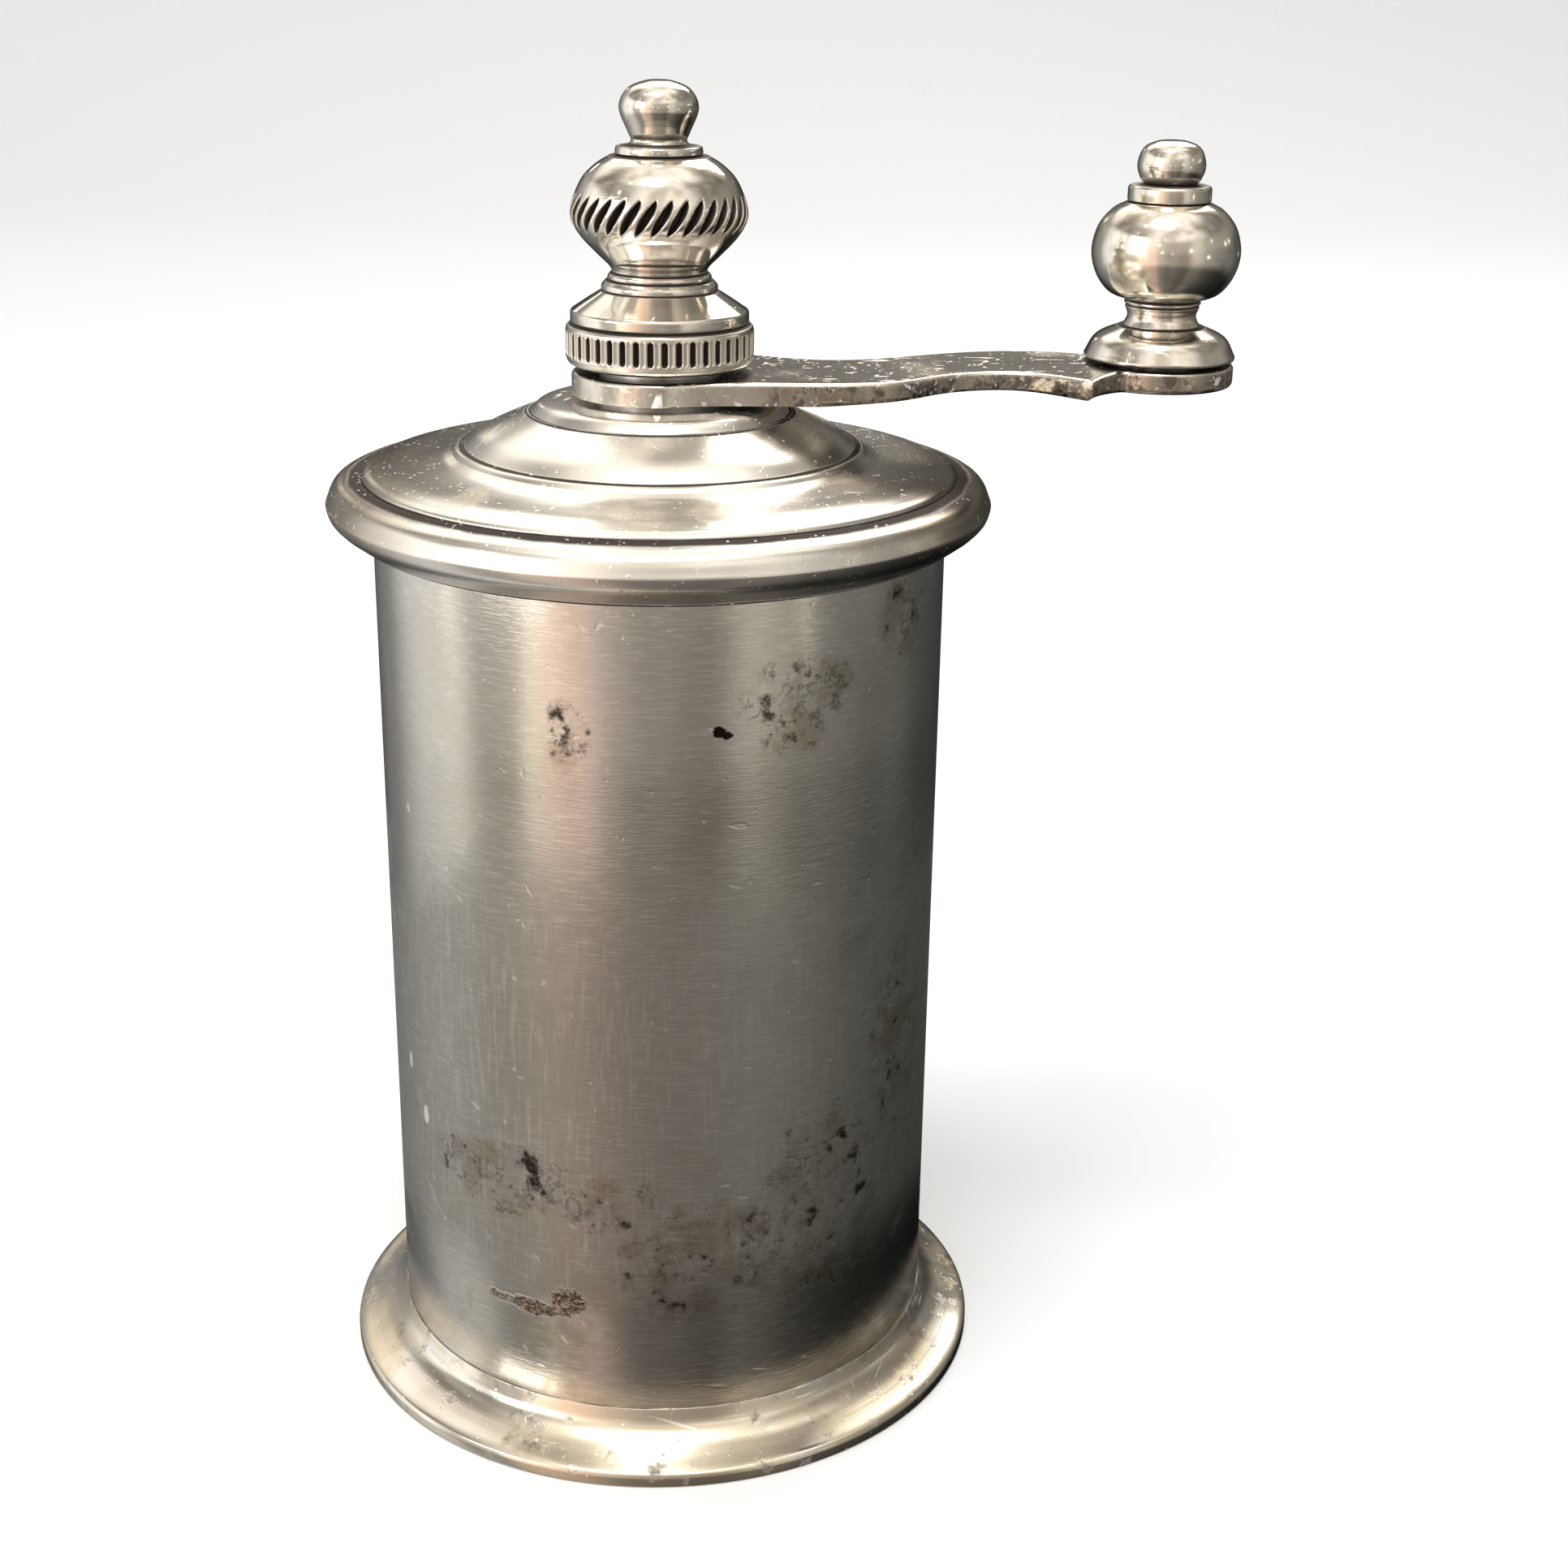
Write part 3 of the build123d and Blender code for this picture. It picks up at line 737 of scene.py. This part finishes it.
low_stains = patches([(12, 19, 9, 6), (38, 22, 7, 10), (-32, 25, 8, 3.5), (-8, 24, 5, 3)], 0.35)
high_stains = patches([(58, 72, 4.0, 4.5), (30, 67, 5.5, 4.0), (-14, 65, 2.0, 3.5), (60, 34, 4.5, 10)], 0.3)
blot = patches([(14, 65.4, 0.55, 0.5), (15.2, 65.1, 0.5, 0.35)], 0.9)
scuff = patches([(-24, 13.2, 4.4, 0.8), (-17, 14.3, 2.0, 1.3)], 0.55)
scars = patches([(-55, 27, 0.5, 0.9), (-62, 31, 0.35, 0.7), (-57, 55, 0.4, 0.5)], 0.4)
spotted = larger(tree, low_stains, high_stains)
dark = any_of(tree, [
    times(tree, spotted, coarse),
    times(tree, spotted, times(tree, small, 0.8)),
    times(tree, spotted, times(tree, curls, 0.4)),
    pits,
])
print("barrel mark nodes:", len(tree.nodes))

# %% [markdown]
# The lower half of the barrel is fogged: rougher and darker. The lower left and the lower right, away from
# the window as the camera sees them, are darker still. That is painted dark reflection, with some tarnish on
# the right.
# Two measures of a point, how far right and how high it is, place both.

# %% Barrel: fog and painted dark reflection
rightward = node(tree, "ShaderNodeVectorMath", {0: place, 1: on_barrel(90, 0)}, operation="DOT_PRODUCT")
rightward = rightward.outputs["Value"]
rightward = over(tree, rightward, BARREL_R * BARREL_R)
height_up = node(tree, "ShaderNodeSeparateXYZ", {0: place}).outputs[2]
edge = plus(tree, height_up, times(tree, minus(tree, clouds, 0.5), 0.006))
fogged = times(tree, soft_step(tree, edge, 0.009, 0.018), one_less(tree, soft_step(tree, edge, 0.043, 0.056)))
# Painted dark reflection: the left of the barrel, as the camera sees it, is marked for darkening.
leftward = one_less(tree, soft_step(tree, rightward, -0.2, 0.3))
lower = one_less(tree, soft_step(tree, height_up, 0.007, 0.042))
# Painted dark reflection with some tarnish: the lower right, as the camera sees it, is darkened in the
# colour.
shaded = times(tree, lower, soft_step(tree, rightward, -0.3, 0.75))
olive = times(tree, lower, use(tree, stain, Vector=place, Size_mm=6.0, Amount=0.5, Seed=17.0)["Mask"])
print("barrel tarnish nodes:", len(tree.nodes))

# %% Barrel: colour
SATIN = (0.60, 0.585, 0.55)
BRUSHED = (0.84, 0.83, 0.80)
PALE_NICK = (0.86, 0.85, 0.82)
body = blend(tree, times(tree, clouds, 0.35), SATIN, (0.49, 0.46, 0.40))
body = blend(tree, times(tree, fogged, 0.45), body, (0.36, 0.355, 0.345))
# Painted dark reflection on the left of the fogged band.
body = blend(tree, times(tree, fogged, times(tree, leftward, 0.65)), body, (0.27, 0.265, 0.25))
# Painted dark reflection with some tarnish on the lower right.
body = blend(tree, times(tree, shaded, 0.42), body, (0.20, 0.19, 0.17))
body = blend(tree, times(tree, olive, 0.35), body, (0.30, 0.26, 0.17))
body = blend(tree, times(tree, mottle, 0.25), body, (0.36, 0.34, 0.31))
streaks = times(
    tree, ramp(tree, brushing, [(0.47, 0.0), (0.70, 0.42)]), ramp(tree, clouds, [(0.2, 1.0), (0.8, 0.45)])
)
streaks = times(tree, streaks, one_less(tree, times(tree, fogged, 0.6)))
body = blend(tree, streaks, body, BRUSHED)
body = blend(
    tree, times(tree, fogged, ramp(tree, rubbing, [(0.48, 0.0), (0.72, 0.35)])), body, (0.62, 0.61, 0.60)
)
body = blend(tree, times(tree, spotted, times(tree, halo, 0.45)), body, (0.55, 0.46, 0.34), "MULTIPLY")
body = blend(tree, times(tree, dark, 0.95), body, (0.05, 0.04, 0.03), "MULTIPLY")
body = blend(tree, blot, body, (0.035, 0.025, 0.018), "MULTIPLY")
crust = ramp(
    tree, shreds, [(0.40, (0.025, 0.015, 0.01)), (0.52, (0.13, 0.085, 0.05)), (0.64, (0.36, 0.27, 0.19))]
)
body = blend(tree, scuff, body, crust)
body = blend(tree, any_of(tree, [scars, nicks, times(tree, hair, 0.3)]), body, PALE_NICK)
tree.links.new(body, surface.inputs["Base Color"])
print("barrel colour nodes:", len(tree.nodes))

# %% Barrel: roughness and relief
rough = plus(tree, 0.15, times(tree, brushing, 0.08))
rough = plus(tree, rough, times(tree, fogged, 0.24))
rough = plus(tree, rough, times(tree, larger(tree, dark, scuff), 0.25))
tree.links.new(rough, surface.inputs["Roughness"])
tree.links.new(one_less(tree, times(tree, scuff, 0.8)), surface.inputs["Metallic"])
DENT, BRUSH_LINE, GRIT, PIT, CRUST = 0.16 * MM, 0.014 * MM, 0.008 * MM, 0.012 * MM, 0.25 * MM
dents = noise(tree, place, 45.0)
height = plus(tree, times(tree, dents, DENT), times(tree, brushing, BRUSH_LINE))
height = plus(tree, height, times(tree, mottle, GRIT))
height = minus(tree, height, times(tree, any_of(tree, [dark, scars, hair]), PIT))
height = plus(tree, height, times(tree, times(tree, scuff, shreds), CRUST))
bump = node(tree, "ShaderNodeBump", {"Strength": 1.0, "Distance": 1.0, "Height": height})
tree.links.new(bump.outputs[0], surface.inputs["Normal"])
print("barrel finish nodes:", len(tree.nodes))

# %% [markdown]
# ## Steel and brass for the works
# The burrs, shaft, strap and screws are plain machined steel with a little oil on it, and the bushes are
# brass. Machining marks are the same lathe lines, with less polish.

# %% Works finishes
def machined(name, colour, roughness, dirt, seed):
    made, tree, surface, place = new_material(name)
    lines = use(tree, lathe_lines, Vector=place, Lines_per_mm=5.0)["Height"]
    film = use(tree, stain, Vector=place, Size_mm=4.0, Amount=dirt, Seed=seed)["Mask"]
    body = blend(tree, times(tree, lines, 0.35), colour, tuple(c * 0.6 for c in colour))
    body = blend(tree, times(tree, film, 0.7), body, (0.10, 0.075, 0.05))
    tree.links.new(body, surface.inputs["Base Color"])
    tree.links.new(plus(tree, roughness, times(tree, film, 0.25)), surface.inputs["Roughness"])
    surface.inputs["Metallic"].default_value = 1.0
    bump = node(
        tree, "ShaderNodeBump", {"Strength": 1.0, "Distance": 1.0, "Height": times(tree, lines, 0.000008)}
    )
    tree.links.new(bump.outputs[0], surface.inputs["Normal"])
    return made


works_steel = machined("works_steel", (0.55, 0.55, 0.56), 0.32, 0.35, 21.0)
burr_steel = machined("burr_steel", (0.33, 0.33, 0.34), 0.4, 0.45, 22.0)
spring_steel = machined("spring_steel", (0.5, 0.5, 0.52), 0.3, 0.25, 23.0)
works_brass = machined("works_brass", (0.78, 0.58, 0.28), 0.3, 0.3, 24.0)

FINISHES = {
    "silver": crank_silver,
    "barrel_silver": barrel_satin,
    "steel": works_steel,
    "burr_steel": burr_steel,
    "spring_steel": spring_steel,
    "brass": works_brass,
}
for entry in frame["record"]["subparts"]:
    solid = frame["nodes"][entry["node"]]
    solid.data.materials.clear()
    solid.data.materials.append(FINISHES[entry["material_slot"]])
print("solids finished:", len(frame["nodes"]))

# %% [markdown]
# ## Turned pieces
# Nearly every visible piece came off a lathe, so each is one outline spun round an axis. The solids have the
# same shapes but in flat facets, which polished metal would show. An outline here is corners and smooth
# runs; each corner is broken a few hundredths of a millimetre, as a polisher leaves it, so that it catches
# the light.

# %% Outline helper
def smooth_run(points, step):
    """Points along a Catmull-Rom curve through the given ones."""
    ends = [2 * points[0] - points[1], *points, 2 * points[-1] - points[-2]]
    run = []
    for a, b, c, d in zip(ends, ends[1:], ends[2:], ends[3:]):
        count = max(3, round((c - b).length / step))
        for k in range(1, count + 1):
            t = k / count
            run.append(
                0.5 * (
                    2 * b + (c - a) * t + (2 * a - 5 * b + 4 * c - d) * t * t + (
                        3 * b - a - 3 * c + d
                    ) * t**3
                )
            )
    return run


def broken_corner(before, corner, after, size):
    """A corner as three points, or as itself where the outline hardly turns there."""
    back, ahead = before - corner, after - corner
    if back.length < 1e-6 or ahead.length < 1e-6 or back.angle(ahead) > math.radians(165) or corner.x < 1e-6:
        return [corner]
    size = min(size, 0.35 * back.length, 0.35 * ahead.length)
    first, last = corner + back.normalized() * size, corner + ahead.normalized() * size
    return [first, (first + last + 2 * corner) / 4, last]


def outline(start, *steps, step=0.25, edge=0.07):
    """A closed outline of (radius, height) in mm: each step is a corner, or a smooth run of points."""
    loop, corners = [Vector(start)], {0}
    for item in steps:
        if isinstance(item[0], tuple):
            loop += smooth_run([loop[-1], *(Vector(p) for p in item)], step)
        else:
            loop.append(Vector(item))
        corners.add(len(loop) - 1)
    points = []
    for k, point in enumerate(loop):
        if k in corners:
            points += broken_corner(loop[k - 1], point, loop[(k + 1) % len(loop)], edge)
        else:
            points.append(point)
    return points


# %% Lathe helper
def add_piece(name, mesh, material, body, slot, *replaced):
    """Puts a finished mesh in the scene, in place of the solids that it stands for."""
    piece = bpy.data.objects.new(name, mesh)
    bpy.context.scene.collection.objects.link(piece)
    if material:
        mesh.materials.append(material)
    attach(piece, body)
    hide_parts(*replaced)
    print(name, len(mesh.polygons), "faces")
    return piece


def spun_mesh(name, points, centre=0.0, segments=256):
    """Spins an outline round an upright axis at X = centre mm."""
    mesh = bpy.data.meshes.new(name)
    verts = []
    for point in points:
        for k in range(segments):
            a = 2 * math.pi * k / segments
            verts.append((
                (centre + point.x * math.cos(a)) * MM,
                point.x * math.sin(a) * MM,
                point.y * MM,
            ))
    faces = []
    for i in range(len(points)):
        row, above = i * segments, ((i + 1) % len(points)) * segments
        if points[i].x < 1e-6 and points[(i + 1) % len(points)].x < 1e-6:
            continue
        for k in range(segments):
            after = (k + 1) % segments
            faces.append((row + k, row + after, above + after, above + k))
    mesh.from_pydata(verts, [], faces)
    work = bmesh.new()
    work.from_mesh(mesh)
    bmesh.ops.remove_doubles(work, verts=work.verts, dist=1e-8)
    bmesh.ops.recalc_face_normals(work, faces=work.faces)
    work.to_mesh(mesh)
    work.free()
    mesh.shade_smooth()
    return mesh


# %% Barrel
BARREL_TOP = 76.35
barrel_outline = outline(
    (24.0, 1.5), (24.0, 20), (24.0, 40), (24.0, 60), (24.0, BARREL_TOP), (23.1, BARREL_TOP), (23.1, 40), (
        23.1, 1.5
    ),
    edge=0.2,
)
add_piece(
    "barrel",
    spun_mesh("barrel", barrel_outline, segments=384),
    barrel_satin,
    "mill",
    "barrel_silver",
    "body_tube",
)

# %% Foot
foot_outline = outline(
    (22.2, 0), (28.51, 0), (28.66, 0.15), (28.66, 0.9),
    ((28.54, 1.22), (28.16, 1.4)),
    ((26.76, 1.85), (25.46, 2.4), (24.45, 3.3), (24.06, 4.6)),
    (24.0, 4.6), (24.0, 1.5), (22.2, 1.5),
)
add_piece("foot", spun_mesh("foot", foot_outline, segments=384), foot_silver, "mill", "silver", "foot_ring")

# %% Lid
lid_outline = outline(
    (22.0, BARREL_TOP), (24.15, BARREL_TOP), (24.15, 75.5), (24.3, 75.5),
    ((25.2, 75.85), (26.9, 77.05)),
    ((27.5, 77.7), (27.75, 78.5)),
    ((26.95, 80.05), (24.95, 80.72)),
    (24.75, 80.55),
    ((24.6, 80.95), (24.1, 81.2)),
    ((22.4, 81.6), (20.0, 81.82), (18.3, 82.12), (17.3, 82.55)),
    ((16.95, 82.85), (16.5, 83.0)),
    (16.35, 82.95),
    ((14.9, 84.0), (12.9, 84.95), (10.95, 85.78)),
    (10.8, 85.66),
    ((9.9, 86.5), (8.3, 86.8)),
    (5.0, 86.8), (5.0, 85.4), (9.0, 85.3), (13.6, 82.9), (15.4, 81.4), (21.0, 80.3), (22.0, 79.5),
    edge=0.16,
)
add_piece(
    "stepped_lid", spun_mesh("stepped_lid", lid_outline, segments=384), lid_silver, "lid", "silver", "lid"
)

# %% Knob
knob_outline = outline(
    (1.65, 89.35), (6.15, 89.35),
    ((6.37, 89.45), (6.4, 89.7)),
    ((5.5, 91.2), (3.55, 92.15)),
    (3.3, 92.1),
    ((2.9, 92.95), (3.15, 93.75)),
    (3.05, 93.85),
    ((3.25, 94.1), (3.05, 94.32)),
    (3.2, 94.35),
    ((4.7, 94.95), (5.8, 96.4), (6.25, 98.3), (5.8, 100.3), (4.7, 101.7), (3.55, 102.35)),
    (1.65, 102.35),
)
add_piece("grip", spun_mesh("grip", knob_outline, 43.0, 192), knob_silver, "knob", "silver", "knob")

# %% Knob spindle
spindle_outline = outline(
    (0, 86.5), (1.5, 86.5),
    ((2.2, 86.75), (2.4, 87.2)),
    (1.6, 87.2), (1.6, 102.4), (3.35, 102.4),
    ((3.48, 102.52), (3.5, 102.7)),
    (3.48, 103.55), (3.3, 103.75), (2.1, 103.8),
    ((2.5, 104.2), (2.85, 105.35), (2.4, 106.7), (1.3, 107.28), (0, 107.4)),
)
add_piece(
    "grip_pin",
    spun_mesh("grip_pin", spindle_outline, 43.0, 160),
    spindle_silver,
    "crank",
    "silver",
    "knob_spindle",
)

# %% Finial tip
tip_outline = outline(
    (0, 103.6), (1.2, 103.6), (1.2, 106.2), (3.4, 106.2),
    ((3.53, 106.32), (3.55, 106.5)),
    (3.5, 106.85), (3.35, 106.95), (2.6, 107.0),
    ((2.25, 107.35), (2.45, 107.85)),
    ((3.2, 109.85), (2.55, 111.3), (1.1, 111.94), (0, 112.0)),
)
add_piece(
    "egg_tip", spun_mesh("egg_tip", tip_outline, segments=160), tip_silver, "finial", "silver", "finial_tip"
)

# %% [markdown]
# ## Cuts round a rim
# The ring's knurl and the finial's rope band were both cut by a V-edged wheel that stepped round the piece.
# Every cut is the same, so a rule makes them all: one Geometry Nodes tree pushes the surface in, deepest at
# the middle of the band and at the middle of each cut. Lean tilts the cuts, and is 0 for the knurl. A higher
# Squareness keeps a cut deep nearer to its ends, and Deepest gives it a flat bottom. Between is the depth of
# the shallow nick along the top of each tooth, which the knurl has and the rope band has not.

# %% Cut tree
cuts = bpy.data.node_groups.new("wheel_cuts", "GeometryNodeTree")
cuts.interface.new_socket("Geometry", in_out="INPUT", socket_type="NodeSocketGeometry")
for title, value in (
    ("Count", 40.0), ("Depth", 0.0006), ("Deepest", 0.0006), ("Middle", 0.09), ("Half height", 0.001),
    ("Rim radius", 0.0075), ("Slope", 1.2), ("Lean", 0.0), ("Squareness", 2.0), ("Between", 0.0),
):
    cuts.interface.new_socket(title, in_out="INPUT", socket_type="NodeSocketFloat").default_value = value
cuts.interface.new_socket("Finish", in_out="INPUT", socket_type="NodeSocketMaterial")
cuts.interface.new_socket("Geometry", in_out="OUTPUT", socket_type="NodeSocketGeometry")
given = cuts.nodes.new("NodeGroupInput").outputs
point = node(cuts, "GeometryNodeInputPosition").outputs[0]
x, y, z = node(cuts, "ShaderNodeSeparateXYZ", {0: point}).outputs
radius = calc(cuts, "POWER", plus(cuts, times(cuts, x, x), times(cuts, y, y)), 0.5)
rise = minus(cuts, z, given["Middle"])
across = minus(
    cuts, times(cuts, calc(cuts, "ARCTAN2", y, x), given["Rim radius"]), times(cuts, rise, given["Lean"])
)
pitch = over(cuts, times(cuts, given["Rim radius"], 2 * math.pi), given["Count"])
nearest = calc(
    cuts, "ABSOLUTE", calc(cuts, "WRAP", across, times(cuts, pitch, 0.5), times(cuts, pitch, -0.5))
)
level = calc(cuts, "ABSOLUTE", over(cuts, rise, given["Half height"]))
window = larger(cuts, one_less(cuts, calc(cuts, "POWER", level, given["Squareness"])), 0.0)
depth = times(cuts, given["Depth"], window)
depth = larger(cuts, minus(cuts, depth, times(cuts, nearest, given["Slope"])), 0.0)
depth = calc(cuts, "MINIMUM", depth, given["Deepest"])
crest = minus(cuts, times(cuts, pitch, 0.5), nearest)
nick = minus(cuts, times(cuts, given["Between"], window), times(cuts, crest, 0.75))
depth = larger(cuts, depth, larger(cuts, nick, 0.0))
outside = calc(cuts, "GREATER_THAN", radius, times(cuts, given["Rim radius"], 0.75))
share = over(cuts, times(cuts, depth, times(cuts, outside, -1.0)), radius)
# How deep each point is cut. The finish uses this for dirt and painted shade in the cuts.
how_deep = over(cuts, times(cuts, minus(cuts, depth, given["Between"]), outside), given["Deepest"])
how_deep = larger(cuts, how_deep, times(cuts, calc(cuts, "GREATER_THAN", nick, 0.00003), 0.07))
marked = node(
    cuts,
    "GeometryNodeStoreNamedAttribute",
    {"Geometry": given["Geometry"], "Name": "cut", "Value": how_deep},
    data_type="FLOAT",
    domain="POINT",
).outputs[0]
inward = node(
    cuts,
    "ShaderNodeVectorMath",
    {0: node(cuts, "ShaderNodeCombineXYZ", {0: x, 1: y, 2: 0.0}).outputs[0], "Scale": share},
    operation="SCALE",
).outputs[0]
moved = node(cuts, "GeometryNodeSetPosition", {"Geometry": marked, "Offset": inward}).outputs[0]
real = node(cuts, "GeometryNodeRealizeInstances", {0: moved}).outputs[0]
done = node(cuts, "GeometryNodeSetMaterial", {"Geometry": real, "Material": given["Finish"]}).outputs[0]
node(cuts, "NodeGroupOutput", {0: done})
print("cut tree nodes:", len(cuts.nodes))


def applied(carrier):
    """The plain mesh that an object's modifiers make. The object itself is then removed."""
    made = bpy.data.meshes.new_from_object(carrier.evaluated_get(bpy.context.evaluated_depsgraph_get()))
    bpy.data.objects.remove(carrier)
    return made


def grown(tree, mesh, name, **inputs):
    """Runs a Geometry Nodes tree on a mesh and returns the result as a plain mesh."""
    carrier = bpy.data.objects.new(name + "_carrier", mesh)
    bpy.context.scene.collection.objects.link(carrier)
    run = carrier.modifiers.new("grow", "NODES")
    run.node_group = tree
    for item in tree.interface.items_tree:
        key = item.name.replace(" ", "_")
        if item.in_out == "INPUT" and key in inputs:
            run[item.identifier] = inputs[key]
    made = applied(carrier)
    made.name = name
    return made


# %% Setting ring
RING_CUTS = 42
ring_outline = outline(
    (2.05, 89.6), (7.15, 89.6),
    ((7.55, 89.85), (7.75, 90.3)),
    ((7.752, 90.6), (7.754, 91.35), (7.752, 92.1), (7.75, 92.35)),
    ((7.63, 92.75), (7.25, 93.0)),
    (2.05, 93.0),
    step=0.09,
)
ring_blank = spun_mesh("ring_blank", ring_outline, segments=RING_CUTS * 14)
ring_mesh = grown(
    cuts, ring_blank, "knurled_ring", Count=float(RING_CUTS), Depth=0.0013, Middle=0.09145, Half_height=0.001,
    Deepest=0.0006, Rim_radius=0.00775, Slope=5.0, Lean=0.0, Squareness=14.0, Between=0.00014,
    Finish=ring_silver,
)
add_piece("knurled_ring", ring_mesh, None, "ring", "silver", "adjusting_ring")

# %% Finial
ROPE_CUTS = 34
finial_outline = outline(
    (4.7, 93.0), (7.33, 93.0), (7.33, 93.8),
    ((7.25, 93.98), (7.0, 94.15)),
    ((6.1, 94.75), (4.75, 95.6)),
    ((4.75, 96.0), (4.4, 96.42)),
    (4.2, 96.42),
    ((4.25, 96.7), (4.05, 96.98)),
    (3.9, 97.0),
    ((3.95, 97.3), (4.2, 97.65)),
    ((5.2, 98.6), (6.38, 99.85), (7.13, 101.15), (7.11, 102.4), (6.3, 104.3), (5.2, 105.45), (4.0, 106.2)),
    (1.2, 106.2), (1.2, 103.4), (0, 103.4), (0, 102.4), (2.05, 101.6), (2.05, 93.3), (4.7, 93.3),
    step=0.16,
)
finial_blank = spun_mesh("finial_blank", finial_outline, segments=ROPE_CUTS * 14)
finial_mesh = grown(
    cuts, finial_blank, "rope_finial", Count=float(
        ROPE_CUTS
    ), Depth=0.0016, Middle=0.1019, Half_height=0.0014,
    Deepest=0.0009, Rim_radius=0.0071, Slope=4.0, Lean=0.62, Squareness=3.0, Finish=finial_silver,
)
add_piece("rope_finial", finial_mesh, None, "finial", "silver", "finial_nut")

# %% [markdown]
# ## The crank arm
# The arm is sawn from plate. Its solid already has the right outline and rounded top edge, so a copy of it
# is welded and given smooth shading that stops at its edges. A Weighted Normal modifier then keeps the flat
# top from shading like a cushion.

# %% Crank arm
WELD = 2e-6


def welded_copy(solid, sharp_angle):
    """A copy of a solid's mesh with its loose triangles joined, smooth but for edges past the sharp angle."""
    mesh = frame["nodes"][solid].data.copy()
    work = bmesh.new()
    work.from_mesh(mesh)
    bmesh.ops.remove_doubles(work, verts=work.verts, dist=WELD)
    work.to_mesh(mesh)
    work.free()
    mesh.materials.clear()
    mesh.shade_smooth()
    mesh.set_sharp_from_angle(angle=math.radians(sharp_angle))
    return mesh


carrier = bpy.data.objects.new("arm_carrier", welded_copy("crank_arm", 32))
bpy.context.scene.collection.objects.link(carrier)
carrier.modifiers.new("even", "WEIGHTED_NORMAL").keep_sharp = True
add_piece("s_arm", applied(carrier), crank_silver, "crank", "silver", "crank_arm")

# %% [markdown]
# ## The spring
# Setting the grind squeezes the spring between its washer and the strap above it. One rigid coil would cut
# through the washer. Here the coil is a welded, smooth copy of the solid, rigid and left where the solid
# stands.

# %% Spring
coil_mesh = welded_copy("spring", 40)
coil_mesh.materials.append(spring_steel)
coil = bpy.data.objects.new("coil", coil_mesh)
bpy.context.scene.collection.objects.link(coil)
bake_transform(coil)
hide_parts("spring")
print("coil", len(coil_mesh.polygons), "faces")
